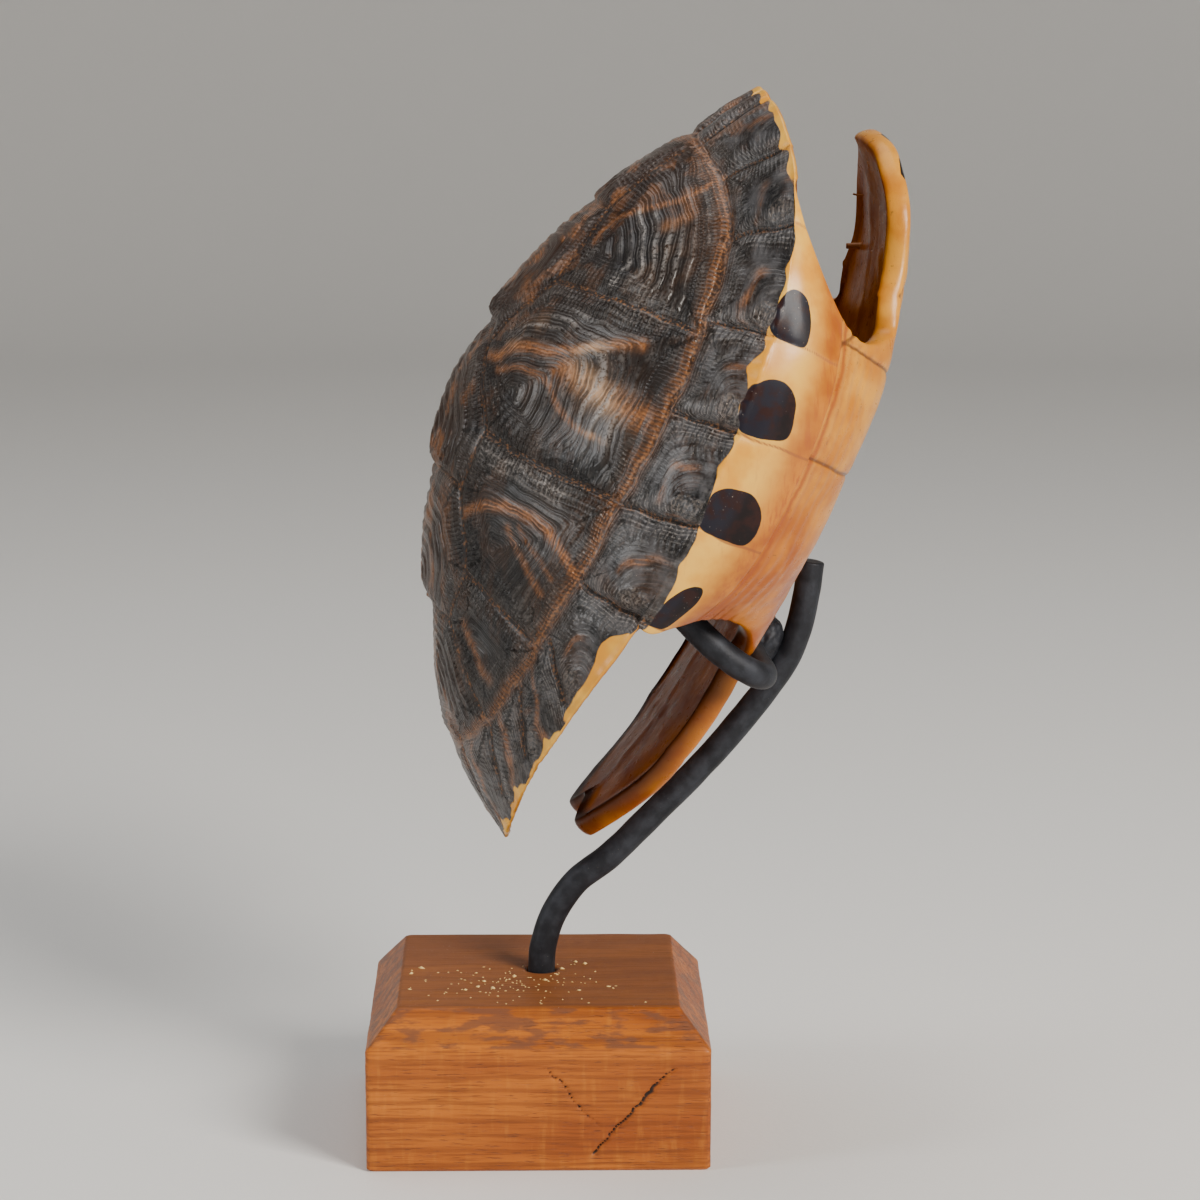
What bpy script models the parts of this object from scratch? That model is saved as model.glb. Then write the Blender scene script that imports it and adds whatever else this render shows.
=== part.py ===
"""Pond turtle shell on a steel rod in a wooden block.

Frame: origin at the middle of the block's underside, +X to the side the head end leans to,
+Y away from the viewer, +Z up.  The shell is shaped in its own frame, in millimetres, with
x toward the head, y to the animal's left and z toward the back, and is then stood on its tail.
"""
import math

import bmesh
import bpy
import numpy as np
from mathutils import Matrix, Vector

MM = 0.001
GAP = 0.3                      # clearance between touching pieces

# wooden block (mm)
BLOCK_SIDE = 74.0
BLOCK_WALL = 26.7              # height of the upright sides
BLOCK_HEIGHT = 34.6
CHAMFER_IN = 6.9
BLOCK_EDGE = 0.5               # worn edge
HOLE_DEPTH = 18.0
HOLE_CUTTER_OVER = 5.0         # how far the hole's cutter stands out of the top

# round steel bar (mm)
BAR_RADIUS = 3.0
BAR_ROUNDNESS = 2              # steps of the bar's quarter circle, less one
PATH_STEP = 3.5                # length of a bar's pieces where it bends
ROD_FOOT_X = 0.7
# the rod above the block in the object's frame, then under the plastron in the shell's frame
ROD_LOWER = ((ROD_FOOT_X, 0, BLOCK_HEIGHT - 0.5), (1.3, 0, 40.5), (3.6, 0, 47.5), (8.6, 0, 54.8))
ROD_UPPER = ((-82.0, 0, -1.4), (-67.5, 0, -6.6), (-52.5, 0, -11.6), (-41.0, 0, -14.6), (-31.0, 0, -16.6),
             (-23.0, 0, -17.0), (-14.5, 0, -15.6), (-4.0, 0, -12.4))
# hook bar under the plastron, in the shell's frame: its place along and across, then its left half
HOOK_X = -27.0
HOOK_Z = -8.3
HOOK_HALF = 35.0
HOOK_ARM = ((HOOK_X + 5.5, HOOK_HALF - 1.5, 15.0), (HOOK_X + 2.6, HOOK_HALF, 7.0),
            (HOOK_X + 0.7, HOOK_HALF + 0.2, 0.0), (HOOK_X, HOOK_HALF - 1.2, -5.6),
            (HOOK_X, HOOK_HALF - 5.4, HOOK_Z - 0.2), (HOOK_X, 16.0, HOOK_Z))
LUMP_RADII = (6.0, 5.2, 3.6)   # weld lump between hook bar and rod
LUMP_AT = (HOOK_X + 2.0, 0, HOOK_Z - 2.6)

# shell, plan outlines seen from the back (mm): ahead of and behind the middle, half width, squareness
RIM = dict(front=83.8, rear=88.0, half=62.0, square_front=2.4, square_rear=2.1)
LOOP = dict(front=68.0, rear=73.0, half=51.0, square_front=2.3, square_rear=2.2)
CREST = 76.6                   # height of the keel above the middle plane of the plastron edge
RIM_HEIGHT = dict(front=43.5, side=24.0, rear=23.0)
LOOP_HEIGHT = dict(front=52.5, side=37.5, rear=42.5)
REAR_FLARE = 5.5               # lift of the rim beside the tail
RIM_RISE = (3.2, 4.0)          # how late the rim's height changes toward head and tail
LOOP_RISE = (7.0, 1.2)         # the same for the costal seam
DOME_POWER = 1.9               # fullness of the dome, and its changes toward head and tail
DOME_POWER_ENDS = (-0.1, -0.2)
DOME_ROUND_HEAD = -0.15
BAND_POWER = 1.05              # bend of the marginals' slope
WALL = 4.0                     # thickness of bone and horn
KNOB = 1.5                     # height of the keel knob at the rear of each vertebral scute
KNOB_POWER = 2.5
KNOB_END = (1.06, 0.16)        # where a knob drops off, as a share of its scute, and over what length
KNOB_DIP = (0.9, 0.25)         # depth and length of the dip behind a seam
KEEL_HALF = 7.0
VERTEBRAL_SEAMS = (47.0, 15.0, -19.0, -47.0, -73.0)

# where the free rim ends and the bridge begins, along the body, and the middle of the bridge
FRONT_CORNER = 70.0
REAR_CORNER = -24.0
BRIDGE_MIDDLE = 12.0

# underside of one half, from the rim (first) to the middle line (last): x, y, z in mm
BELLY_SECTION = ((12, 60.9, 24.3), (12, 60.6, 18.0), (12, 58.6, 11.5), (12, 55.6, 6.2),
                 (12, 50.0, 0.6), (12, 43.0, -3.4), (12, 34.0, -5.2), (12, 22.0, -5.5),
                 (12, 10.0, -5.2), (12, 0.0, -5.0))
FRONT_EDGE = ((70, 40.7, 31.5), (63.5, 44.8, 27.2), (54.5, 48.2, 18.8), (47.8, 47.4, 10.6),
              (46.2, 42.0, 3.6), (50.5, 32.5, -1.2), (61.0, 27.8, 1.6), (74.5, 23.8, 6.2),
              (84.0, 14.0, 13.5), (86.5, 0.0, 17.5))
REAR_EDGE = ((-24, 59.9, 22.5), (-25.0, 56.4, 19.6), (-22.0, 53.4, 16.0), (-18.8, 50.0, 11.4),
             (-17.6, 43.5, 4.2), (-20.8, 34.5, -2.4), (-33.0, 27.6, -4.7), (-55.0, 24.0, -2.2),
             (-76.0, 9.5, 6.2), (-74.0, 0.0, 5.0))

# how the shell stands: its long axis leans from the vertical, its back turns a little to the viewer
LEAN = math.radians(25.6)
ROLL = math.radians(3.0)
SHELL_MIDDLE = Vector((50.5, 0.0, 135.5))

UNDER_BEND = (1.0, 2.2, 3.0)   # how late x, y and z bend from the middle section to the end edges
RIM_FADE = 0.35                # share of the underside over which it is drawn to the rim

# grid of the shell's sheet
ALONG = 30
OVER = 34
UNDER = 32


def ellipse_radius(angle, o):
    """Distance from the middle to a squared ellipse at the plan angle."""
    c, s = np.cos(angle), np.sin(angle)
    reach = np.where(c >= 0, o["front"], o["rear"])
    power = np.where(c >= 0, o["square_front"], o["square_rear"])
    return (np.abs(c / reach) ** power + np.abs(s / o["half"]) ** power) ** (-1 / power)


def ring_heights(x, y):
    """Heights of the costal seam and of the rim on the ray through x, y."""
    reach = np.where(x >= 0, RIM["front"], RIM["rear"])
    psi = np.arctan2(np.abs(y) / RIM["half"], x / reach)
    ahead, behind = np.clip(np.cos(psi), 0, 1), np.clip(-np.cos(psi), 0, 1)
    flare = np.where(psi > np.pi / 2, np.clip(np.sin(2 * (np.pi - psi)), 0, 1) ** 2, 0)
    rim = (RIM_HEIGHT["side"] + (RIM_HEIGHT["front"] - RIM_HEIGHT["side"]) * ahead ** RIM_RISE[0]
           + (RIM_HEIGHT["rear"] - RIM_HEIGHT["side"]) * behind ** RIM_RISE[1] + REAR_FLARE * flare)
    seam = (LOOP_HEIGHT["side"] + (LOOP_HEIGHT["front"] - LOOP_HEIGHT["side"]) * ahead ** LOOP_RISE[0]
            + (LOOP_HEIGHT["rear"] - LOOP_HEIGHT["side"]) * behind ** LOOP_RISE[1])
    return seam, rim


def keel_knobs(x, y):
    """Each vertebral scute swells toward its rear end on the keel and drops at the seam."""
    lift = np.zeros_like(x)
    for front, rear in zip(VERTEBRAL_SEAMS[:-1], VERTEBRAL_SEAMS[1:]):
        s = (front - x) / (front - rear)
        swell = np.clip(s, 0, 1) ** KNOB_POWER * np.clip((KNOB_END[0] - s) / KNOB_END[1], 0, 1)
        dip = KNOB_DIP[0] * np.exp(-(s / KNOB_DIP[1]) ** 2)
        lift += np.where((s > 0) & (s <= 1), swell - dip, 0)
    return KNOB * lift * np.exp(-(y / KEEL_HALF) ** 2)


def carapace_height(x, y):
    """Domed inside the costal seam, a sloping band of marginals outside it."""
    angle, r = np.arctan2(y, x), np.hypot(x, y)
    r_seam, r_rim = ellipse_radius(angle, LOOP), ellipse_radius(angle, RIM)
    z_seam, z_rim = ring_heights(x, y)
    c = np.cos(angle)
    power = DOME_POWER + np.where(c > 0, *DOME_POWER_ENDS) * c * c
    round_ = 1.0 + np.where(c > 0, DOME_ROUND_HEAD, 0.0) * c * c
    inside = np.clip(1 - np.clip(r / r_seam, 0, 1) ** power, 0, 1) ** round_
    band = np.clip((r - r_seam) / (r_rim - r_seam), 0, 1)
    dome = z_seam + (CREST - z_seam) * inside + keel_knobs(x, y)
    return np.where(r <= r_seam, dome, z_seam + (z_rim - z_seam) * band ** BAND_POWER)


def rim_point(psi):
    """Plan point on the rim at the stretched angle psi (0 at the head)."""
    c, s = np.cos(psi), np.sin(psi)
    reach = np.where(c >= 0, RIM["front"], RIM["rear"])
    angle = np.arctan2(s * RIM["half"], c * reach)
    r = ellipse_radius(angle, RIM)
    return np.stack([r * np.cos(angle), r * np.sin(angle)], -1)


def rim_at_x(x):
    """Half width of the rim at x."""
    reach = np.where(x >= 0, RIM["front"], RIM["rear"])
    power = np.where(x >= 0, RIM["square_front"], RIM["square_rear"])
    return RIM["half"] * (1 - (np.abs(x) / reach) ** power) ** (1 / power)


def side_x(s):
    """Place along the body on the bridge's rim for s from -1 (rear corner) to 1 (front corner)."""
    return np.where(s >= 0, BRIDGE_MIDDLE + (FRONT_CORNER - BRIDGE_MIDDLE) * s,
                    BRIDGE_MIDDLE + (BRIDGE_MIDDLE - REAR_CORNER) * s)


def corner_angle(x):
    """Stretched angle of the rim point at x."""
    reach = RIM["front"] if x >= 0 else RIM["rear"]
    return math.atan2(float(rim_at_x(np.float64(x))) / RIM["half"], x / reach)


def over_sheet(s, t):
    """Carapace: plan points blended between the four stretches of rim, lifted to the dome."""
    front = rim_point(corner_angle(FRONT_CORNER) * t)
    rear = rim_point(math.pi - (math.pi - corner_angle(REAR_CORNER)) * t)
    rear[..., 1] = np.abs(rear[..., 1]) * np.sign(t)
    sx = side_x(s)
    left = np.stack([sx, rim_at_x(sx)], -1)
    right = left * (1, -1)
    a, b = s[..., None], t[..., None]
    fc = np.array([FRONT_CORNER, float(rim_at_x(np.float64(FRONT_CORNER)))])
    rc = np.array([REAR_CORNER, float(rim_at_x(np.float64(REAR_CORNER)))])
    flip = np.array([1, -1])
    corners = ((1 + a) * ((1 + b) * fc + (1 - b) * fc * flip)
               + (1 - a) * ((1 + b) * rc + (1 - b) * rc * flip)) / 4
    plan = ((1 + a) * front + (1 - a) * rear + (1 + b) * left + (1 - b) * right) / 2 - corners
    x, y = plan[..., 0], plan[..., 1]
    return np.stack([x, y, carapace_height(x, y)], -1)


def curve_through(points, w):
    """Smooth curve through the points, w from 0 to 1 along them evenly, mirrored at the last."""
    p = np.array(points, float)
    p = np.vstack([2 * p[0] - p[1], p, p[-2] * (1, -1, 1)])
    u = w * (len(points) - 1)
    i = np.clip(np.floor(u).astype(int), 0, len(points) - 2)
    f = (u - i)[..., None]
    a, b, c, d = p[i], p[i + 1], p[i + 2], p[i + 3]
    return 0.5 * (2 * b + (c - a) * f + (2 * a - 5 * b + 4 * c - d) * f ** 2
                  + (3 * b - a - 3 * c + d) * f ** 3)


def under_sheet(s, w):
    """Bridge and plastron of the left half: w runs from the rim (0) to the middle line (1)."""
    bend = np.abs(s)[..., None] ** np.array(UNDER_BEND)

    def section(at):
        middle = curve_through(BELLY_SECTION, at)
        end = np.where((s >= 0)[..., None], curve_through(FRONT_EDGE, at), curve_through(REAR_EDGE, at))
        return middle + (end - middle) * bend

    sx = side_x(s)
    y = rim_at_x(sx)
    rim = np.stack([sx, y, carapace_height(sx, y)], -1)
    fade = np.clip(1 - w / RIM_FADE, 0, 1)[..., None] ** 2
    return section(w) + (rim - section(np.zeros_like(w))) * fade


def shell_sheet(s, v):
    """Whole outer surface as a tube around the body: v 0..1 over the back from the right rim to
    the left rim, v 1..2 back underneath; s -1 at the tail opening, +1 at the head opening."""
    over = over_sheet(s, np.clip(2 * v - 1, -1, 1))
    w = np.clip(v - 1, 0, 1)
    half = 1 - np.abs(2 * w - 1)
    under = under_sheet(s, half)
    under[..., 1] *= np.where(w <= 0.5, 1, -1)
    return np.where((v <= 1)[..., None], over, under)


def material(name, color, roughness, metallic=0.0):
    """Plain material of one colour."""
    m = bpy.data.materials.new(name)
    m.use_nodes = True
    shader = m.node_tree.nodes["Principled BSDF"]
    shader.inputs["Base Color"].default_value = (*color, 1)
    shader.inputs["Roughness"].default_value = roughness
    shader.inputs["Metallic"].default_value = metallic
    return m


def new_object(name, mesh, collection, mat=None):
    """Object in the collection, with its material if it has one."""
    obj = bpy.data.objects.new(name, mesh)
    collection.objects.link(obj)
    if mat:
        mesh.materials.clear()
        mesh.materials.append(mat)
    return obj


def make_shell(collection, mat):
    """A grid bent into the sheet, closed along its long edge, then given its thickness."""
    around = OVER + UNDER
    bm = bmesh.new()
    bmesh.ops.create_grid(bm, x_segments=ALONG, y_segments=around, size=1)
    bm.verts.ensure_lookup_table()
    uv = np.array([v.co[:2] for v in bm.verts])
    s, g = uv[:, 0], (uv[:, 1] + 1) / 2 * around
    v = np.where(g <= OVER, g / OVER, 1 + (g - OVER) / UNDER)
    points = shell_sheet(np.round(s, 6), np.round(v, 6)) * MM
    for vert, p in zip(bm.verts, points):
        vert.co = p
    bmesh.ops.remove_doubles(bm, verts=bm.verts, dist=0.05 * MM)
    bmesh.ops.recalc_face_normals(bm, faces=bm.faces)
    top = max(bm.faces, key=lambda f: f.calc_center_median().z)
    if top.normal.z < 0:
        bmesh.ops.reverse_faces(bm, faces=bm.faces)
    mesh = bpy.data.meshes.new("turtle_shell")
    bm.to_mesh(mesh)
    bm.free()
    mesh.shade_smooth()
    obj = new_object("turtle_shell", mesh, collection, mat)
    wall = obj.modifiers.new("wall", "SOLIDIFY")
    wall.thickness = WALL * MM
    wall.offset = -1
    obj.matrix_world = shell_matrix()
    return obj


def shell_matrix():
    """Shell frame to object frame."""
    ahead = Vector((math.sin(LEAN), 0, math.cos(LEAN)))
    up = Vector((-math.cos(LEAN), 0, math.sin(LEAN)))
    right = Vector((0, -1, 0))
    back = up * math.cos(ROLL) + right * math.sin(ROLL)
    left = -(right * math.cos(ROLL) - up * math.sin(ROLL))
    m = Matrix((ahead, left, back)).transposed().to_4x4()
    return Matrix.Translation(SHELL_MIDDLE * MM) @ m


def smooth_path(points, step):
    """Evenly rounded path through the points (a Catmull-Rom curve)."""
    p = [Vector(q) for q in points]
    p = [2 * p[0] - p[1], *p, 2 * p[-1] - p[-2]]
    path = []
    for a, b, c, d in zip(p, p[1:], p[2:], p[3:]):
        count = max(1, round((c - b).length / step))
        for k in range(count):
            f = k / count
            path.append(0.5 * (2 * b + (c - a) * f + (2 * a - 5 * b + 4 * c - d) * f * f
                               + (3 * b - a - 3 * c + d) * f ** 3))
    path.append(p[-2])
    return path


def bar(name, path, radius, collection, mat=None):
    """Round bar along a path (mm), as a closed mesh."""
    curve = bpy.data.curves.new(name, "CURVE")
    curve.dimensions = "3D"
    curve.bevel_depth = radius * MM
    curve.bevel_resolution = BAR_ROUNDNESS
    curve.use_fill_caps = True
    spline = curve.splines.new("POLY")
    spline.points.add(len(path) - 1)
    for point, co in zip(spline.points, path):
        point.co = (*(co * MM), 1)
    guide = bpy.data.objects.new(name + "_path", curve)
    collection.objects.link(guide)
    depsgraph = bpy.context.evaluated_depsgraph_get()
    mesh = bpy.data.meshes.new_from_object(guide.evaluated_get(depsgraph))
    bpy.data.objects.remove(guide)
    bm = bmesh.new()
    bm.from_mesh(mesh)
    bmesh.ops.remove_doubles(bm, verts=bm.verts, dist=0.01 * MM)
    bmesh.ops.recalc_face_normals(bm, faces=bm.faces)
    bm.to_mesh(mesh)
    bm.free()
    mesh.name = name
    mesh.shade_smooth()
    return new_object(name, mesh, collection, mat)


def to_shell(point):
    """From the shell's frame to the object's, in mm."""
    return shell_matrix() @ (Vector(point) * MM) / MM


def rod_path():
    """Middle line of the rod, from the bottom of its hole to its tip under the plastron."""
    foot = Vector((ROD_FOOT_X, 0, BLOCK_HEIGHT - HOLE_DEPTH + GAP))
    return smooth_path([foot, *map(Vector, ROD_LOWER), *map(to_shell, ROD_UPPER)], PATH_STEP)


def hook_path():
    """Middle line of the hook bar, its left arm and the same mirrored."""
    points = list(HOOK_ARM) + [(x, -y, z) for x, y, z in reversed(HOOK_ARM)]
    return smooth_path([to_shell(p) for p in points], PATH_STEP)


def boolean(target, other, operation):
    """Exact boolean of the target with the other object."""
    m = target.modifiers.new(operation.lower(), "BOOLEAN")
    m.operation = operation
    m.solver = "EXACT"
    m.object = other


def make_block(collection, cutters, mat):
    """Block with a chamfered top and a drilled hole for the rod."""
    bpy.ops.mesh.primitive_cube_add(size=1, location=(0, 0, 0))
    obj = bpy.context.active_object
    obj.name = obj.data.name = "wood_base"
    for c in obj.users_collection:
        c.objects.unlink(obj)
    collection.objects.link(obj)
    bm = bmesh.new()
    bm.from_mesh(obj.data)
    size = Vector((BLOCK_SIDE, BLOCK_SIDE, BLOCK_HEIGHT)) * MM
    bmesh.ops.scale(bm, vec=size, verts=bm.verts)
    bmesh.ops.translate(bm, vec=(0, 0, size.z / 2), verts=bm.verts)
    bmesh.ops.bisect_plane(bm, geom=bm.verts[:] + bm.edges[:] + bm.faces[:], dist=1e-7,
                           plane_co=(0, 0, BLOCK_WALL * MM), plane_no=(0, 0, 1))
    shrink = 1 - 2 * CHAMFER_IN / BLOCK_SIDE
    top = [v for v in bm.verts if v.co.z > (BLOCK_HEIGHT - 1) * MM]
    bmesh.ops.scale(bm, vec=(shrink, shrink, 1), verts=top)
    bm.to_mesh(obj.data)
    bm.free()
    obj.data.materials.append(mat)
    edge = obj.modifiers.new("worn_edges", "BEVEL")
    edge.width = BLOCK_EDGE * MM
    edge.segments = 2
    edge.limit_method = "ANGLE"
    bpy.ops.mesh.primitive_cylinder_add(vertices=32, radius=(BAR_RADIUS + GAP) * MM,
                                        depth=(HOLE_DEPTH + HOLE_CUTTER_OVER) * MM)
    hole = bpy.context.active_object
    hole.name = "rod_hole"
    hole.location = (ROD_FOOT_X * MM, 0, (BLOCK_HEIGHT + (HOLE_CUTTER_OVER - HOLE_DEPTH) / 2) * MM)
    as_cutter(hole, cutters)
    boolean(obj, hole, "DIFFERENCE")
    return obj


def as_cutter(obj, cutters):
    """Moves the object to the cutters, out of sight."""
    for c in obj.users_collection:
        c.objects.unlink(obj)
    cutters.objects.link(obj)
    obj.hide_render = True
    obj.display_type = "WIRE"


def make_hook(collection, cutters, mat):
    """Hook bar with the weld lump that fills the corner between it and the rod."""
    hook = bar("hook_bar", hook_path(), BAR_RADIUS, collection, mat)
    bpy.ops.mesh.primitive_ico_sphere_add(subdivisions=3, radius=1)
    lump = bpy.context.active_object
    lump.name = "weld_lump"
    lump.data.transform(Matrix.Diagonal((*(Vector(LUMP_RADII) * MM), 1)))
    lump.matrix_world = shell_matrix() @ Matrix.Translation(Vector(LUMP_AT) * MM)
    as_cutter(lump, cutters)
    boolean(hook, lump, "UNION")
    channel = bar("rod_channel", rod_path(), BAR_RADIUS + GAP, cutters)
    as_cutter(channel, cutters)
    boolean(hook, channel, "DIFFERENCE")
    return hook


def main():
    """Clears the file and makes the four pieces."""
    for obj in list(bpy.data.objects):
        bpy.data.objects.remove(obj)
    parts = bpy.data.collections.new("turtle_shell_on_stand")
    cutters = bpy.data.collections.new("cutters")
    for c in (parts, cutters):
        bpy.context.scene.collection.children.link(c)
    horn = material("shell_horn", (0.12, 0.07, 0.04), 0.45)
    steel = material("blackened_steel", (0.02, 0.02, 0.025), 0.55, 0.6)
    wood = material("red_brown_wood", (0.35, 0.12, 0.04), 0.5)
    make_shell(parts, horn)
    bar("support_rod", rod_path(), BAR_RADIUS, parts, steel)
    make_hook(parts, cutters, steel)
    make_block(parts, cutters, wood)


main()
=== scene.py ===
"""Looks of the pond turtle shell on its stand.

The shell is worked out in its own frame in millimetres: x toward the head, y to the animal's left,
z toward the back.  Every surface is a formula on a grid, turned and moved into the object's frame.
"""
import math

import bmesh
import bpy
import numpy as np
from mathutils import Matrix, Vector


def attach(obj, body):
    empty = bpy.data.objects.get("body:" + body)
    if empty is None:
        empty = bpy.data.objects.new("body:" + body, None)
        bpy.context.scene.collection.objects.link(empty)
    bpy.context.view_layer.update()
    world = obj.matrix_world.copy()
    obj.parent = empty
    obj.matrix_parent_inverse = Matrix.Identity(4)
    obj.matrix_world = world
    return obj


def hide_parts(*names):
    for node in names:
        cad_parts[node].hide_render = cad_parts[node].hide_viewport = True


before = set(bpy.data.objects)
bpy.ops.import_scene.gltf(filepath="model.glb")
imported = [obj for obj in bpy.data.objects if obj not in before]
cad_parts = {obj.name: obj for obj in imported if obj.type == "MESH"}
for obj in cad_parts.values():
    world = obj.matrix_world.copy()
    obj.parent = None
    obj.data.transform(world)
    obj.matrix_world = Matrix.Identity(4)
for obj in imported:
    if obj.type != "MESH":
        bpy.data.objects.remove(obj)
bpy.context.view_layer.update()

MM = 0.001
TURN = 2 * math.pi

# how the shell stands (mm)
LEAN = math.radians(25.6)
ROLL = math.radians(3.0)
SHELL_MIDDLE = np.array([50.5, 0.0, 135.5])
AHEAD = np.array([math.sin(LEAN), 0, math.cos(LEAN)])

# plan outlines of the rim and of the seam between costals and marginals
RIM = dict(front=83.2, rear=87.4, half=61.8, square_front=2.4, square_rear=2.1)
LOOP = dict(front=68.0, rear=73.0, half=51.0, square_front=2.3, square_rear=2.2)
CREST = 76.2                   # top of the dome
RIM_HEIGHT = dict(front=43.5, side=24.0, rear=23.0)
LOOP_HEIGHT = dict(front=52.5, side=37.5, rear=42.5)
REAR_FLARE = 5.5               # lift of the rim between its side and its rear
KNOB = 1.5                     # height of the knobs on the keel
KEEL_HALF = 7.0
VERTEBRAL_SEAMS = (47.0, 15.0, -19.0, -47.0, -73.0)

# where the bridge begins, ends and has its middle
FRONT_CORNER = 70.0
REAR_CORNER = -24.0
BRIDGE_MIDDLE = 12.0

# underside of one half from the rim to the middle line
BELLY_SECTION = ((12, 60.9, 24.3), (12, 60.6, 18.0), (12, 58.6, 11.5), (12, 55.6, 6.2),
                 (12, 50.0, 0.6), (12, 43.0, -3.4), (12, 34.0, -5.2), (12, 22.0, -5.5),
                 (12, 10.0, -5.2), (12, 0.0, -5.0))
FRONT_EDGE = ((70, 40.7, 31.5), (63.5, 44.8, 27.2), (54.5, 48.2, 18.8), (47.8, 47.4, 10.6),
              (46.2, 42.0, 3.6), (50.5, 32.5, -1.2), (61.0, 27.8, 1.6), (74.5, 23.8, 6.2),
              (83.4, 14.0, 11.9), (85.8, 0.0, 15.3))
REAR_EDGE = ((-24, 59.9, 22.5), (-25.0, 56.4, 19.6), (-22.0, 53.4, 16.0), (-18.8, 50.0, 11.4),
             (-17.6, 43.5, 4.2), (-20.8, 34.5, -2.4), (-33.0, 27.6, -4.7), (-55.0, 24.0, -2.2),
             (-77.5, 10.0, 5.6), (-73.6, 0.0, 4.7))
SUTURE = 0.30                  # where the marginals meet the bridge, as a share of the underside

# seams of one half of the carapace in plan, as corner points of each scute
VERTEBRALS = (((67.5, 0), (64.5, 9.5), (47, 10.5), (47, 0)),
              ((47, 0), (47, 10.5), (28.8, 16.2), (11, 10.6), (14.5, 0)),
              ((14.5, 0), (11, 10.6), (-6, 23.3), (-18.5, 21.5), (-19.5, 0)),
              ((-19.5, 0), (-18.5, 21.5), (-34.2, 26.6), (-46, 19.8), (-46.5, 0)),
              ((-46.5, 0), (-46, 19.8), (-61.2, 31), (-70, 16), (-73.5, 0)))
COSTALS = (((64.5, 9.5), (47, 10.5), (28.8, 16.2), (34.5, 46.5), (53, 36), (63.6, 24)),
           ((28.8, 16.2), (11, 10.6), (-6, 23.3), (-5, 51), (17, 50.5), (34.5, 46.5)),
           ((-6, 23.3), (-18.5, 21.5), (-34.2, 26.6), (-40, 45.5), (-23, 49.8), (-5, 51)),
           ((-34.2, 26.6), (-46, 19.8), (-61.2, 31), (-52, 39.5), (-40, 45.5)))
# middle of growth of each, where its rings start
VERTEBRAL_HEARTS = ((50.5, 0), (18, 0), (-15, 0), (-43, 0), (-62, 0))
COSTAL_HEARTS = ((38.5, 19.5), (3.5, 25.0), (-27.0, 33.0), (-49.5, 31.0))
VERTEBRAL_RINGS = (9.0, 9.0, 9.0, 8.0, 8.0)
COSTAL_RINGS = (10, 10, 9, 7)
MARGINAL_RINGS = 7.0
MARGINAL_HEART = (0.86, 0.93)  # along the marginal and from the costal seam to the rim
# seams between marginals: plan point at the costal seam, plan point at the rim
MARGINAL_SEAMS = (((67.9, 2.6), (83.2, 3.2)), ((66.9, 9.5), (82.6, 11.5)), ((63.6, 23.0), (76.6, 31.7)),
                  ((53.3, 35.3), (62.3, 46.9)), ((36.7, 45.3), (41.0, 57.0)), ((17.0, 50.2), (20.4, 61.0)),
                  ((-4.7, 51.0), (-0.3, 62.0)), ((-22.7, 49.8), (-23.3, 59.6)), ((-37.0, 46.6), (-47.0, 51.5)),
                  ((-49.0, 41.0), (-62.8, 41.5)), ((-60.5, 32.0), (-74.0, 30.0)), ((-69.0, 17.0), (-83.0, 15.0)))

# where the dark horn ends, in mm beyond the crease of the rim: x, mm
DARK_END = ((-60, -0.4), (-51, -0.1), (-44, -0.7), (-38, -1.1), (-33, -1.7), (-29, -1.8), (-26.5, -0.6),
            (-24.5, 3.0), (-23, 3.6), (-14, 2.6), (-5, 1.5), (3, 0.9), (9, -0.2), (21, -0.5), (27, -1.2),
            (32, -1.8), (39, -1.7), (44, -0.9), (53, -0.9), (57, 0.3), (61, 1.2), (67, 0.6), (74, -1.2))
# dark blotches beyond that line, one before each seam between marginals: x of the seam, start and
# length along x, lean, middle, slope and half height across (mm)
BLOTCHES = ((41.0, -0.3, 10.2, 0.0, 5.6, 0.0, 6.0), (20.4, -0.3, 11.8, 0.2, 6.0, 0.0, 6.3),
            (-0.3, -0.5, 10.9, 0.0, 5.8, 0.1, 6.4), (-23.3, -0.2, 11.6, 0.0, 1.6, 0.38, 3.4))
# dark mark on each front corner of the belly plate, in plan, and the dried tags on its far lip
GULAR_MARK = ((84.9, 5.9), (83.5, 8.8), (82.2, 12.8), (80.1, 18.8))
TAGS = ((0.28, ((72.3, 20.4, 8.2), (71.5, 20.5, 9.2), (70.9, 20.6, 10.6), (70.7, 20.6, 11.6))),
        (0.75, ((62.0, 19.8, 3.6), (61.3, 20.0, 4.8), (60.4, 20.3, 6.6), (59.8, 20.4, 7.9))))
# seams across the belly plate: x at the middle line and change toward the bridge
BELLY_SEAMS = ((64.0, -20.0), (40.0, 5.0), (17.0, 4.0), (-24.0, -3.0), (-50.0, -4.0))
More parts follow.
